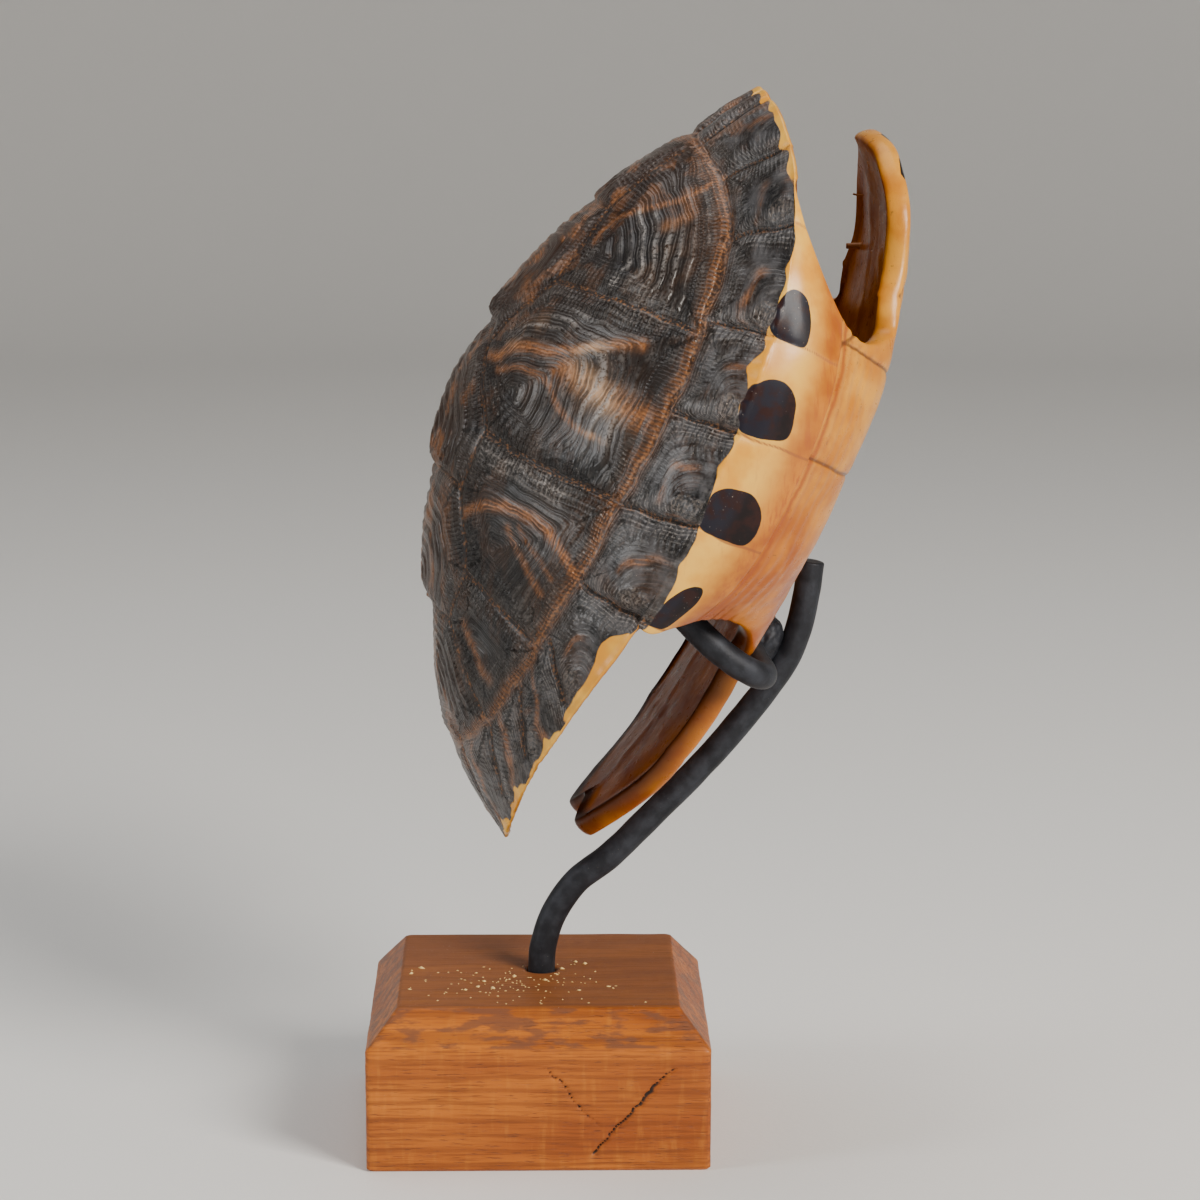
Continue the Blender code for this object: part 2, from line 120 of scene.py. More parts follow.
# orange-brown and pale marks on the back plate: width, strength, plan points
WARM_STROKES = (
    (0.8, 0.85, ((40, 15.7), (42.5, 14.7), (46, 15.3), (49.2, 17.8), (52.1, 20.8), (56, 23.3), (59.7, 23.5),
                 (64, 22.3))),
    (1.8, 0.45, ((50, 26), (54, 27.5), (58, 22.7))),
    (1.15, 0.85, ((8.5, 14), (9.5, 18.3), (11.8, 18.9), (14.3, 23.8), (15.7, 28.9), (18.7, 32.9), (22.1, 36.6),
                  (26.1, 41.1))),
    (0.75, 0.65, ((7, 19.7), (9.8, 24.2), (10.7, 29.1), (9.8, 32.6), (6.5, 36.9), (4.6, 41.6), (4.9, 45))),
    (2.8, 0.7, ((14, 33), (13.9, 38.8), (13.7, 44.2), (13.3, 48.3))),
    (1.1, 0.95, ((-23, 24.5), (-21, 26.5), (-18.4, 28.9), (-16.5, 33.3), (-16.1, 37.4), (-16.1, 41.9),
                 (-18, 45.3), (-20.7, 47.9), (-23.4, 49.2))),
    (0.8, 0.55, ((-20.1, 34.9), (-23.6, 38.8), (-26.2, 42), (-28.8, 44.1))),
    (0.6, 0.45, ((-18.8, 37), (-22.4, 42.4), (-25, 45.5))),
    (1.1, 0.6, ((-44.5, 26.6), (-47.4, 29.9), (-50.9, 31.4), (-51.9, 33.5))))
PALE_STROKES = (
    (0.9, 1.0, ((48.8, 18.9), (45.3, 24.4), (40.5, 27.6), (34.4, 28.0))),
    (0.9, 0.8, ((50, 22), (45.5, 26.8), (40.1, 30), (34.3, 31.3))),
    (5.0, 0.5, ((46, 30), (40, 34), (35, 36))),
    (4.5, 0.9, ((19, 36), (14, 40), (8, 44))),
    (2.2, 0.7, ((14.5, 18), (21, 24), (25, 30))),
    (2.4, 0.6, ((-9, 24), (-9, 30), (-8.5, 36), (-9, 42))))

# block and rod (mm)
ROD_FOOT_X = 0.7
ROD_RADIUS = 3.0
BLOCK_HALF = 37.0
BLOCK_TOP = 34.65
HOLE_FLOOR = 16.6
# corners of the block's profile, each with the number of rows to the next: half width, corner
# radius, height, roundness (0 square, 1 circle)
PROFILE = ((14, (3.0, 1.5, 0.0, 0)), (4, (36.3, 1.0, 0.0, 0)), (64, (36.9, 1.0, 0.6, 0)),
           (4, (36.95, 0.9, 26.4, 0)), (20, (36.6, 0.9, 26.95, 0)), (4, (30.4, 0.8, 34.3, 0)),
           (44, (29.8, 0.9, 34.6, 0)), (3, (3.7, 3.7, 34.6, 1)), (10, (3.35, 3.35, 34.2, 1)),
           (1, (3.3, 3.3, HOLE_FLOOR, 1)))
# splits in the block's front face: x, z, half width (mm)
CRACKS = (((30.3, 23.9, 0.07), (26.2, 20.3, 0.20), (23.4, 16.6, 0.42), (19.0, 11.8, 0.24), (15.4, 8.2, 0.18),
           (11.9, 3.9, 0.32)),
          ((1.6, 22.9, 0.04), (5.2, 19.7, 0.09), (8.3, 14.5, 0.11), (13.9, 10.0, 0.05)))

# specular level of every piece unless it says otherwise
SHINE = 0.33

# grid counts: along the body, over the back, from the rim to the suture, across the belly
ALONG = 236
OVER = 252
SIDE = 30
BELLY = 236


def to_object(points):
    """Turns shell points (mm) into the object's frame (m): three unit axes, then the middle."""
    up = np.array([-math.cos(LEAN), 0, math.sin(LEAN)])
    right = np.array([0.0, -1.0, 0.0])
    back = up * math.cos(ROLL) + right * math.sin(ROLL)
    left = up * math.sin(ROLL) - right * math.cos(ROLL)
    p = np.asarray(points, float)
    return (SHELL_MIDDLE + p[..., 0:1] * AHEAD + p[..., 1:2] * left + p[..., 2:3] * back) * MM


def unit(v):
    """The same directions with length 1."""
    return v / np.maximum(np.linalg.norm(v, axis=-1, keepdims=True), 1e-9)


def mix(a, b, share):
    """a turned into b by the share."""
    return a + (b - a) * share


def polar(r, angle):
    """Plan points at distance r from the middle."""
    return np.stack([r * np.cos(angle), r * np.sin(angle)], -1)


def full_turn(count):
    """Angles of a full turn in even steps."""
    return np.linspace(0, TURN, count, endpoint=False)


def waves(p, length, seed, count=14):
    """Smooth noise near -1..1: a sum of sine waves of the given length in random directions."""
    rng = np.random.default_rng(seed)
    k = unit(rng.normal(size=(count, 3))) * (TURN / (length * rng.uniform(0.7, 1.5, count)))[:, None]
    phase = rng.uniform(0, TURN, count)
    return np.sin(np.tensordot(p, k.T, 1) + phase).sum(-1) / math.sqrt(count) / 1.4


def step(low, high, x):
    """Smooth step from 0 at low to 1 at high."""
    t = np.clip((x - low) / (high - low), 0, 1)
    return t * t * (3 - 2 * t)


def bell(x, width):
    """Bell curve exp(-(x/width)^2)."""
    return np.exp(-(x / width) ** 2)


def ellipse_radius(angle, o):
    """Distance from the middle to a squared ellipse at the plan angle."""
    c, s = np.cos(angle), np.sin(angle)
    reach = np.where(c >= 0, o["front"], o["rear"])
    power = np.where(c >= 0, o["square_front"], o["square_rear"])
    return (np.abs(c / reach) ** power + np.abs(s / o["half"]) ** power) ** (-1 / power)


def rim_angle(x, y):
    """Stretched angle of a plan point, 0 at the head: that of the circle which the rim's ellipse
    would be if it were drawn in."""
    reach = np.where(x >= 0, RIM["front"], RIM["rear"])
    return np.arctan2(np.abs(y) / RIM["half"], x / reach)


def ring_heights(x, y):
    """Heights of the costal seam and of the rim on the ray through x, y: powers of the cosine of
    the stretched angle mix a front, a side and a rear height."""
    psi = rim_angle(x, y)
    ahead, behind = np.clip(np.cos(psi), 0, 1), np.clip(-np.cos(psi), 0, 1)
    flare = np.where(psi > np.pi / 2, np.clip(np.sin(2 * (np.pi - psi)), 0, 1) ** 2, 0)
    seam, rim = [mix(o["side"], o["front"], ahead ** front) + (o["rear"] - o["side"]) * behind ** rear
                 for o, front, rear in ((LOOP_HEIGHT, 7, 1.2), (RIM_HEIGHT, 3.2, 4))]
    return seam, rim + REAR_FLARE * flare


def keel_knobs(x, y):
    """Swelling toward the rear end of each vertebral on the keel, with a dip behind each seam."""
    lift = np.zeros_like(x)
    for front, rear in zip(VERTEBRAL_SEAMS[:-1], VERTEBRAL_SEAMS[1:]):
        s = (front - x) / (front - rear)
        swell = np.clip(s, 0, 1) ** 2.5 * np.clip((1.06 - s) / 0.16, 0, 1) - 0.9 * bell(s, 0.25)
        lift += np.where((s > 0) & (s <= 1), swell, 0)
    return KNOB * lift * bell(y, KEEL_HALF)


def carapace_height(x, y):
    """Domed inside the costal seam, a sloping band of marginals outside it."""
    angle, r = np.arctan2(y, x), np.hypot(x, y)
    r_seam, r_rim = ellipse_radius(angle, LOOP), ellipse_radius(angle, RIM)
    z_seam, z_rim = ring_heights(x, y)
    c = np.cos(angle)
    power = 1.9 + np.where(c > 0, -0.1, -0.2) * c * c
    round_ = 1.0 + np.where(c > 0, -0.15, 0.0) * c * c
    inside = np.clip(1 - np.clip(r / r_seam, 0, 1) ** power, 0, 1) ** round_
    band = np.clip((r - r_seam) / (r_rim - r_seam), 0, 1)
    dome = mix(z_seam, CREST, inside) + keel_knobs(x, y)
    return np.where(r <= r_seam, dome, mix(z_seam, z_rim, band ** 1.05))


def rim_point(psi):
    """Plan point on the rim at the stretched angle psi (0 at the head)."""
    c, s = np.cos(psi), np.sin(psi)
    reach = np.where(c >= 0, RIM["front"], RIM["rear"])
    angle = np.arctan2(s * RIM["half"], c * reach)
    return polar(ellipse_radius(angle, RIM), angle)


def rim_at_x(x):
    """Half width of the rim at x."""
    reach = np.where(x >= 0, RIM["front"], RIM["rear"])
    power = np.where(x >= 0, RIM["square_front"], RIM["square_rear"])
    return RIM["half"] * (1 - (np.abs(x) / reach) ** power) ** (1 / power)


def side_x(s):
    """Place along the bridge for s from -1 to 1."""
    return np.where(s >= 0, BRIDGE_MIDDLE + (FRONT_CORNER - BRIDGE_MIDDLE) * s,
                    BRIDGE_MIDDLE + (BRIDGE_MIDDLE - REAR_CORNER) * s)


def over_sheet(s, t):
    """Carapace: a Coons patch in plan between the four stretches of rim, lifted to the dome."""
    fc, rc = (np.array([x, float(rim_at_x(x))]) for x in (FRONT_CORNER, REAR_CORNER))
    front = rim_point(rim_angle(*fc) * t)
    rear = rim_point(math.pi - (math.pi - rim_angle(*rc)) * t)
    rear[..., 1] = np.abs(rear[..., 1]) * np.sign(t)
    sx = side_x(s)
    left = np.stack([sx, rim_at_x(sx)], -1)
    flip = np.array([1, -1])
    a, b = s[..., None], t[..., None]
    corners = ((1 + a) * ((1 + b) * fc + (1 - b) * fc * flip)
               + (1 - a) * ((1 + b) * rc + (1 - b) * rc * flip)) / 4
    plan = ((1 + a) * front + (1 - a) * rear + (1 + b) * left + (1 - b) * left * flip) / 2 - corners
    x, y = plan[..., 0], plan[..., 1]
    return np.stack([x, y, carapace_height(x, y)], -1)


def spline(p, u):
    """Catmull-Rom curve through the points p but the first and last, at u from 0 on."""
    i = np.clip(np.floor(u).astype(int), 0, len(p) - 4)
    f = (u - i)[..., None]
    a, b, c, d = p[i], p[i + 1], p[i + 2], p[i + 3]
    return 0.5 * (2 * b + (c - a) * f + (2 * a - 5 * b + 4 * c - d) * f ** 2
                  + (3 * b - a - 3 * c + d) * f ** 3)


def curve_through(points, w):
    """Curve through the points, w from 0 to 1, mirrored at its last point."""
    p = np.array(points, float)
    return spline(np.vstack([2 * p[0] - p[1], p, p[-2] * (1, -1, 1)]), w * (len(p) - 1))


def arc_length(p):
    """Length along a line of points up to each of them."""
    return np.concatenate([[0], np.cumsum(np.linalg.norm(np.diff(p, axis=0), axis=1))])


def under_sheet(s, w):
    """Bridge and plastron: the middle section bent toward the front and rear edges by powers of
    |s|, w from 0 at the left rim through 1 at the middle line to 2 at the right rim.  On the lobes
    the lines along the body fan out, so that they meet the lobe's side edge at an angle."""
    side = np.where(w <= 1, 1.0, -1.0)
    w = 1 - np.abs(1 - w)
    reach = np.abs(s)
    bend = np.stack([reach, reach ** (2.2 - 0.9 * step(0.5, 0.62, w)), reach ** 3.0], -1)

    def mixed(at):
        fan = 0.08 * np.sin(math.pi * np.clip(2 * at - 1, 0, 1))
        middle = curve_through(BELLY_SECTION, at + fan)
        end = np.where((s >= 0)[..., None], curve_through(FRONT_EDGE, at), curve_through(REAR_EDGE, at))
        return mix(middle, end, bend)

    sx = side_x(s)
    y = rim_at_x(sx)
    rim = np.stack([sx, y, carapace_height(sx, y)], -1)
    fade = np.clip(1 - w / 0.35, 0, 1)[..., None] ** 2
    p = mixed(w) + (rim - mixed(np.zeros_like(w))) * fade
    p[..., 1] *= side
    return p


def smoothed(n, passes=3):
    """Unit vectors of a grid, averaged over each point's neighbours."""
    for _ in range(passes):
        q = np.pad(n, ((1, 1), (1, 1), (0, 0)), mode="edge")
        n = sum(q[i:i + n.shape[0], j:j + n.shape[1]] for i in range(3) for j in range(3)) / 9
    return unit(n)


def grid_normals(p, away):
    """Unit normals of a grid of points: the cross product of its two slopes, on the side that the
    given direction points to."""
    n = np.cross(np.gradient(p, axis=1), np.gradient(p, axis=0))
    n = n if n[len(n) // 2, n.shape[1] // 2] @ np.array(away) > 0 else -n
    return unit(n)


def dome_normals(p):
    """Unit normals of the dome z = f(x, y): (-df/dx, -df/dy, 1) by differences over 0.4 mm."""
    x, y, e = p[..., 0], p[..., 1], 0.2
    dx = (carapace_height(x + e, y) - carapace_height(x - e, y)) / (2 * e)
    dy = (carapace_height(x, y + e) - carapace_height(x, y - e)) / (2 * e)
    return unit(np.stack([-dx, -dy, np.ones_like(x)], -1))


def grid_faces(rows, columns, start=0, flip=False):
    """Quads of a grid whose vertices run row by row."""
    i = np.arange(rows - 1)[:, None] * columns + np.arange(columns - 1)[None] + start
    q = np.stack([i, i + 1, i + columns + 1, i + columns], -1).reshape(-1, 4)
    return q[:, ::-1] if flip else q


def tube_faces(rings, count):
    """Quads between closed rings of points, and triangles from the two cap points that follow the
    rings to the first and the last ring."""
    j = np.arange(count)
    i = (j + 1) % count
    k = np.arange(rings - 1)[:, None] * count
    quads = np.stack([k + j, k + i, k + count + i, k + count + j], -1).reshape(-1, 4)
    cap, last = np.full(count, rings * count), (rings - 1) * count
    return quads, np.vstack([np.stack([cap, i, j], -1), np.stack([cap + 1, last + j, last + i], -1)])


def stitch(fine, coarse, flip=False):
    """Triangles between two edges that run side by side, each with its own number of points."""
    a, b = np.asarray(fine), np.asarray(coarse)
    near = np.round(np.arange(len(a)) * (len(b) - 1) / (len(a) - 1)).astype(int)
    t1 = np.stack([a[:-1], a[1:], b[near[:-1]]], -1)
    turn = np.nonzero(near[1:] != near[:-1])[0]
    t2 = np.stack([a[turn + 1], b[near[turn + 1]], b[near[turn]]], -1)
    t = np.vstack([t1, t2])
    return t[:, ::-1] if flip else t


def new_piece(name, points, quads, triangles=None, values=None):
    """Mesh object from arrays: points in metres, quads, triangles, and values stored per point."""
    mesh = bpy.data.meshes.new(name)
    faces = quads.tolist() + (triangles.tolist() if triangles is not None else [])
    mesh.from_pydata(points.reshape(-1, 3).tolist(), [], faces)
    mesh.validate()
    bm = bmesh.new()
    bm.from_mesh(mesh)
    bmesh.ops.recalc_face_normals(bm, faces=bm.faces)
    bm.to_mesh(mesh)
    bm.free()
    for key, data in (values or {}).items():
        layer = mesh.attributes.new(key, "FLOAT", "POINT")
        layer.data.foreach_set("value", np.asarray(data, np.float32).ravel())
    mesh.shade_smooth()
    obj = bpy.data.objects.new(name, mesh)
    bpy.context.scene.collection.objects.link(obj)
    return obj


# carapace

def loop_share(x, y):
    """Distance from the middle as a share of the distance to the costal seam."""
    return np.hypot(x, y) / ellipse_radius(np.arctan2(y, x), LOOP)


def scute_edges(corners, whole):
    """Edges of a scute that don't lie on the costal seam; a middle scute has both halves."""
    pairs = list(zip(corners, corners[1:] + corners[:1]))
    inner = [(a, b) for a, b in pairs if not (a[1] == 0 and b[1] == 0)
             and not all(abs(float(loop_share(*np.float64(c))) - 1) < 0.06 for c in (a, b))]
    return inner + [((a[0], -a[1]), (b[0], -b[1])) for a, b in inner] if whole else inner


def growth_gauge(x, y, corners, heart, whole):
    """0 at the heart of a scute and 1 on its border: the largest of the shares run toward each
    edge line and toward the costal seam, rounded near the heart by a power mean."""
    shares = []
    for a, b in scute_edges(corners, whole):
        nx, ny = b[1] - a[1], a[0] - b[0]
        full = nx * (a[0] - heart[0]) + ny * (a[1] - heart[1])
        shares.append((nx * (x - heart[0]) + ny * (y - heart[1])) / full)
    start = float(loop_share(*np.float64(heart)))
    shares.append((loop_share(x, y) - start) / (1 - start))
    g = np.clip(np.stack(shares), 0, None)
    sharp = g.max(0)
    soft = (g ** 5).mean(0) ** 0.2 * len(shares) ** 0.2
    return sharp + (soft - sharp) * 0.7 * np.clip(1 - sharp, 0, 1)


def marginal_place(x, y, share):
    """Which marginal a point lies in (0 the nuchal) and how far along it, 0 to 1 toward the tail;
    share is 0 at the costal seam and 1 at the rim."""
    psi = rim_angle(x, y)
    ends = np.array(MARGINAL_SEAMS, float)
    at = rim_angle(ends[..., 0], ends[..., 1])
    seams = mix(at[:, 0], at[:, 1], share[..., None])
    index = (psi[..., None] > seams).sum(-1)
    closed = np.concatenate([-seams[..., :1], seams, np.full_like(seams[..., :1], math.pi)], -1)
    a = np.take_along_axis(closed, index[..., None], -1)[..., 0]
    b = np.take_along_axis(closed, index[..., None] + 1, -1)[..., 0]
    return index, (psi - a) / (b - a)


def line_samples(points, spacing=0.25):
    """Points along a plan polyline at the spacing, lifted to the dome, and their arc length."""
    p = np.array(points, float)
    run = arc_length(p)
    at = np.linspace(0, run[-1], max(2, int(run[-1] / spacing)))
    x, y = np.interp(at, run, p[:, 0]), np.interp(at, run, p[:, 1])
    return np.stack([x, y, carapace_height(x, y)], -1), at


def carapace_seams():
    """Sample points of every seam on the carapace: vertebral and costal edges, the costal seam
    itself and the seams between marginals, on both sides."""
    lines = [edge for corners in VERTEBRALS + COSTALS for edge in scute_edges(corners, False)]
    lines += MARGINAL_SEAMS
    ring = np.linspace(0, math.pi, 500)
    lines.append(polar(ellipse_radius(ring, LOOP), ring))
    parts = [line_samples(line) for line in lines]
    points = np.concatenate([p for p, _ in parts])
    run = np.concatenate([at + 37.0 * k for k, (_, at) in enumerate(parts)])
    return np.concatenate([points, points * (1, -1, 1)]), np.concatenate([run, run + 900])


def nearest(points, samples, run):
    """Distance from each point to the nearest sample and the arc length there, block by block."""
    flat = points.reshape(-1, 3).astype(np.float32)
    line = samples.astype(np.float32)
    square = (line ** 2).sum(1)
    distance, place = [], []
    for k in range(0, len(flat), 3000):
        block = flat[k:k + 3000]
        d = square - 2 * block @ line.T
        best = d.argmin(1)
        place.append(run[best])
        distance.append(np.linalg.norm(block - line[best], axis=1))
    shape = points.shape[:-1]
    return np.concatenate(distance).reshape(shape), np.concatenate(place).reshape(shape)


def stroke_mask(points, strokes):
    """Greatest of exp(-(d/width)^2) over drawn strokes: each a width, a strength and plan points."""
    mask = np.zeros(points.shape[:-1])
    for width, strength, line in strokes:
        d, _ = nearest(points, *line_samples(line, 0.6))
        mask = np.maximum(mask, strength * bell(d, width))
    return mask


def closed_sheet(name, outer, n, inner_step, edge, wall, values, inside_values):
    """A closed piece from an outer grid: its border runs over a rounded lip of the given edge
    thickness to an inner, coarser grid that lies one wall below; edge thickness and wall are given
    for every point."""
    rows, columns = outer.shape[:2]
    i, j = np.arange(rows), np.arange(columns)
    values = {key: np.broadcast_to(data, (rows, columns)) for key, data in values.items()}
    border = np.concatenate([j, columns - 1 + columns * i[1:], (rows - 1) * columns + j[-2::-1],
                             columns * i[-2:0:-1]])
    flat, fn = outer.reshape(-1, 3), n.reshape(-1, 3)
    b, bn = flat[border], fn[border]
    along = np.roll(b, -1, 0) - np.roll(b, 1, 0)
    out = np.cross(along, bn)
    for _ in range(4):
        out = (np.roll(out, -1, 0) + out + np.roll(out, 1, 0)) / 3
    out = unit(out)
    if ((b - outer[rows // 2, columns // 2]) * out).sum() < 0:
        out = -out
    thick, bulge = edge
    thick = np.broadcast_to(thick, (rows, columns)).ravel()[border][:, None]
    turn = np.linspace(0, math.pi, 8)[1:]
    lips = [b + out * bulge * math.sin(t) - bn * thick / 2 * (1 - math.cos(t)) for t in turn]
    ri = np.unique(np.linspace(5, rows - 6, inner_step[0]).astype(int))
    ci = np.unique(np.linspace(5, columns - 6, inner_step[1]).astype(int))
    inner = (outer - n * wall[..., None])[np.ix_(ri, ci)]
    points = [flat, *lips, inner.reshape(-1, 3)]
    quads = [grid_faces(rows, columns)]
    rings = [border] + [len(flat) + len(b) * k + np.arange(len(b)) for k in range(len(turn))]
    for a, c in zip(rings[:-1], rings[1:]):
        quads.append(np.stack([np.roll(a, -1), a, c, np.roll(c, -1)], -1))
    start = len(flat) + len(b) * len(turn)
    quads.append(grid_faces(len(ri), len(ci), start, flip=True))
    k = start + np.arange(len(ri) * len(ci)).reshape(len(ri), len(ci))
    ring = rings[-1]
    sides = ((ring[:columns], k[0]), (ring[columns - 1:columns + rows - 1], k[:, -1]),
             (ring[columns + rows - 2:2 * columns + rows - 2], k[-1, ::-1]),
             (np.append(ring[2 * columns + rows - 3:], ring[0]), k[::-1, 0]))
    triangles = np.vstack([stitch(a, c, flip=True) for a, c in sides])
    kept = {}
    fade = np.linspace(0, 1, len(turn))
    for key, data in values.items():
        lip = data.ravel()[border]
        end = inside_values.get(key, lip)
        rim = [mix(lip, end, f) for f in fade]
        kept[key] = np.concatenate([data.ravel(), *rim, np.full(len(ri) * len(ci), np.mean(end))])
    return new_piece(name, to_object(np.vstack(points)), np.vstack(quads), triangles, kept)


def carapace_grid():
    """Rows along the body, columns from the right suture under the rim, over the back and down to
    the left suture; returns points, place across, and how far under the rim each column lies."""
    s = np.linspace(-1, 1, ALONG)[:, None]
    w = np.linspace(SUTURE, 0, SIDE + 1)[None, :-1]
    t = np.linspace(-1, 1, OVER)[None]
    under_right = under_sheet(*np.broadcast_arrays(s, 2 - w))
    over = over_sheet(*[np.array(q) for q in np.broadcast_arrays(s, t)])
    under_left = under_sheet(*np.broadcast_arrays(s, w[:, ::-1]))
    points = np.concatenate([under_right, over, under_left], 1)
    beneath = np.concatenate([w[0], np.zeros(OVER), w[0, ::-1]]) / SUTURE
    return points, np.broadcast_to(beneath, points.shape[:2])


def carapace():
    """Back plate with its marginals: the grid moved along its normals by the relief
    h = - 0.5 exp(-(d/0.6)^2) - 0.35 exp(-(d/2.4)^2)                 groove at a seam, d mm away
        + ring(u) with u counting growth lines inward from the seam   ridges with slow and steep side
        + 0.35 noise(24 mm) + 0.12 noise(7 mm)                        unevenness."""
    p, beneath = carapace_grid()
    top = beneath == 0
    left, right = grid_normals(p[:, -SIDE:], (0, 1, 0)), grid_normals(p[:, :SIDE], (0, -1, 0))
    n = smoothed(np.concatenate([right, dome_normals(p[:, SIDE:-SIDE]), left], 1))
    x = p[..., 0] + (waves(p, 9.0, 3) * 0.35 + waves(p, 30.0, 5) * 0.5)
    y = p[..., 1] + (waves(p, 9.0, 4) * 0.35 + waves(p, 30.0, 6) * 0.5)
    side = np.abs(y)

    # scute each point lies in: the one whose growth gauge is smallest
    kinds = [(c, h, True) for c, h in zip(VERTEBRALS, VERTEBRAL_HEARTS)]
    kinds += [(c, h, False) for c, h in zip(COSTALS, COSTAL_HEARTS)]
    gauges = np.stack([growth_gauge(x, side, list(c), h, whole) for c, h, whole in kinds])
    lines = np.array([*VERTEBRAL_RINGS, *COSTAL_RINGS])[gauges.argmin(0)]

    # place in the band of marginals: tau from the costal seam to the rim, a along each marginal
    angle, r = np.arctan2(y, x), np.hypot(x, y)
    r_loop, r_rim = ellipse_radius(angle, LOOP), ellipse_radius(angle, RIM)
    tau = np.where(top, np.clip((r - r_loop) / (r_rim - r_loop), 0, 1), 1.0)
    band = (r / r_loop - 1 > 0) | ~top
    index, a = marginal_place(x, y, tau)
    a = np.where(index == 0, 0.5 + 0.5 * np.abs(2 * a - 1), a)
    heart_a, heart_t = MARGINAL_HEART
    ga = np.where(a < heart_a, (heart_a - a) / heart_a, 0.8 * (a - heart_a) / (1 - heart_a))
    gt = np.clip((heart_t - tau) / heart_t, 0, 1)
    sharp = np.maximum(ga, gt)
    soft = (ga ** 4 + gt ** 4) ** 0.25
    m_gauge = mix(soft, sharp, step(0.45, 1.0, sharp))
    knot = np.hypot((a - 0.83) * 19.0, (tau - 0.80) * 12.0) + 0.35 * waves(p, 4.0, 16)
    growth = np.where(band, (1 - np.clip(m_gauge, 0, 1)) * MARGINAL_RINGS,
                      (1 - np.clip(gauges.min(0), 0, 1)) * lines)

    # d: distance to the nearest seam, under the rim to the seam between marginals
    lifted = np.stack([x, y, np.where(top, carapace_height(x, y), p[..., 2])], -1)
    d, along = nearest(lifted, *carapace_seams())
    gap = np.abs(x[..., None] - np.array([r[0] for _, r in MARGINAL_SEAMS])).min(-1)
    d = np.where(top, d, gap)
    along = np.where(top, along, p[..., 2])

    # relief
    wobble = 0.30 * waves(p, 16.0, 7) + 0.06 * waves(p, 4.0, 8)
    u = growth + wobble * np.clip(growth, 0, 1)
    ridge = np.sin(TURN * u) + 0.4 * np.sin(2 * TURN * u + 0.9) + 0.25 * np.sin(3 * TURN * u)
    ridge *= np.clip(d / 1.6, 0, 1) * (0.55 + 0.45 * waves(p, 14.0, 9)) * np.where(band, 0.10, 0.26)
    groove = -0.5 * bell(d, 0.6) - 0.35 * bell(d, 2.4)
    groove *= np.where(top, 1.0, 0.25 * (1 - beneath))
    uneven = 0.35 * waves(p, 24.0, 10) + 0.12 * waves(p, 7.0, 11)
    bulge = np.where(band & top, 0.5 * (1 - (2 * a - 1) ** 4) * np.sin(math.pi * np.clip(tau, 0, 1)), 0)
    knotted = band & top & (index > 2)
    knots = np.where(knotted, 0.28 * bell(knot - 2.0, 0.5) + 0.12 * bell(knot - 0.7, 0.4), 0)
    h = ridge * top + groove + uneven * np.where(top, 1.0, 0.3) + bulge + knots - 0.25
    at_rim = np.where(top, step(0.6, 1.0, tau), (1 - beneath) ** 3)
    notch = -0.8 * (1 - np.sin(math.pi * np.clip(a, 0, 1)) ** 0.5) * at_rim * np.where(index == 0, 0.3, 1.0)
    notch -= 0.7 * np.clip(waves(p, 3.0, 18), 0, 1) * at_rim * step(-58, -76, x)
    away = unit(np.stack([x / RIM["front"] ** 2, y / RIM["half"] ** 2, np.zeros_like(x)], -1))
    outer = p + n * h[..., None] + away * notch[..., None]

    # colours: beyond is the way past the crease of the rim, scallop where the dark horn ends on it
    beyond = -(1 - tau) * (r_rim - r_loop) * 1.15
    beyond[:, -SIDE:] = np.cumsum(np.linalg.norm(np.diff(p[:, -SIDE - 1:], axis=1), axis=-1), axis=1)
    beyond[:, :SIDE] = np.cumsum(np.linalg.norm(np.diff(p[:, SIDE::-1], axis=1), axis=-1), axis=1)[:, ::-1]
    px = p[..., 0]
    dark_end = np.interp(px, *np.array(DARK_END).T)
    scallop = dark_end + 0.25 * waves(p, 5.0, 12) + (0.6 * bell(a - 0.14, 0.09) - 0.6 * bell(a - 0.36, 0.08))
    ends = np.maximum(step(62, 70, px), step(-47, -53, px))
    scallop -= np.where(px > 0, 1.0, 1.6) * ends * bell(a - np.where(px > 0, 0.95, 0.55), 0.09)
    spot = np.full_like(x, 3.0)
    past = beyond - dark_end
    for seam_x, start, length, lean, middle, slope, half in BLOTCHES:
        ex = (px - seam_x - lean * past - start) / (length / 2) - 1
        ez = (past - middle - slope * (px - seam_x)) / half
        power = np.where(ex < 0, 5.0, 2.1)
        reach = (np.abs(ex) ** power + np.abs(ez) ** power) ** (1 / power)
        spot = np.minimum(spot, reach + 0.025 * waves(p, 5.0, 13))
    half_plan = np.stack([x, side, lifted[..., 2]], -1)
    arc = bell(m_gauge - 0.50 - 0.10 * waves(p, 9.0, 14), 0.05) * np.clip(0.1 + 0.6 * waves(p, 9.0, 15), 0, 0.6)
    spoke = bell(a - 0.55 + 0.1 * waves(p, 7.0, 17), 0.07) * 0.65 * step(-34, -46, px)
    warm = np.maximum(stroke_mask(half_plan, WARM_STROKES), np.where(band, arc, 0))
    warm = np.maximum(warm, np.where(band & top, spoke, 0))
    values = dict(growth=u, seam=d, along=along, edge=beyond - scallop, spot=spot,
                  knot=np.where(knotted, knot, 9.0), warm=warm, pale=stroke_mask(half_plan, PALE_STROKES),
                  inner=np.zeros_like(x), loop=np.where(top, bell(r_loop - r - 0.3, 1.0), 0),
                  middle=bell(y, 16.0), marginal=1.0 * band, under=beneath * 1.0)
    thin = 0.32 + 0.68 * step(0.0, 10.0, np.abs(beyond))
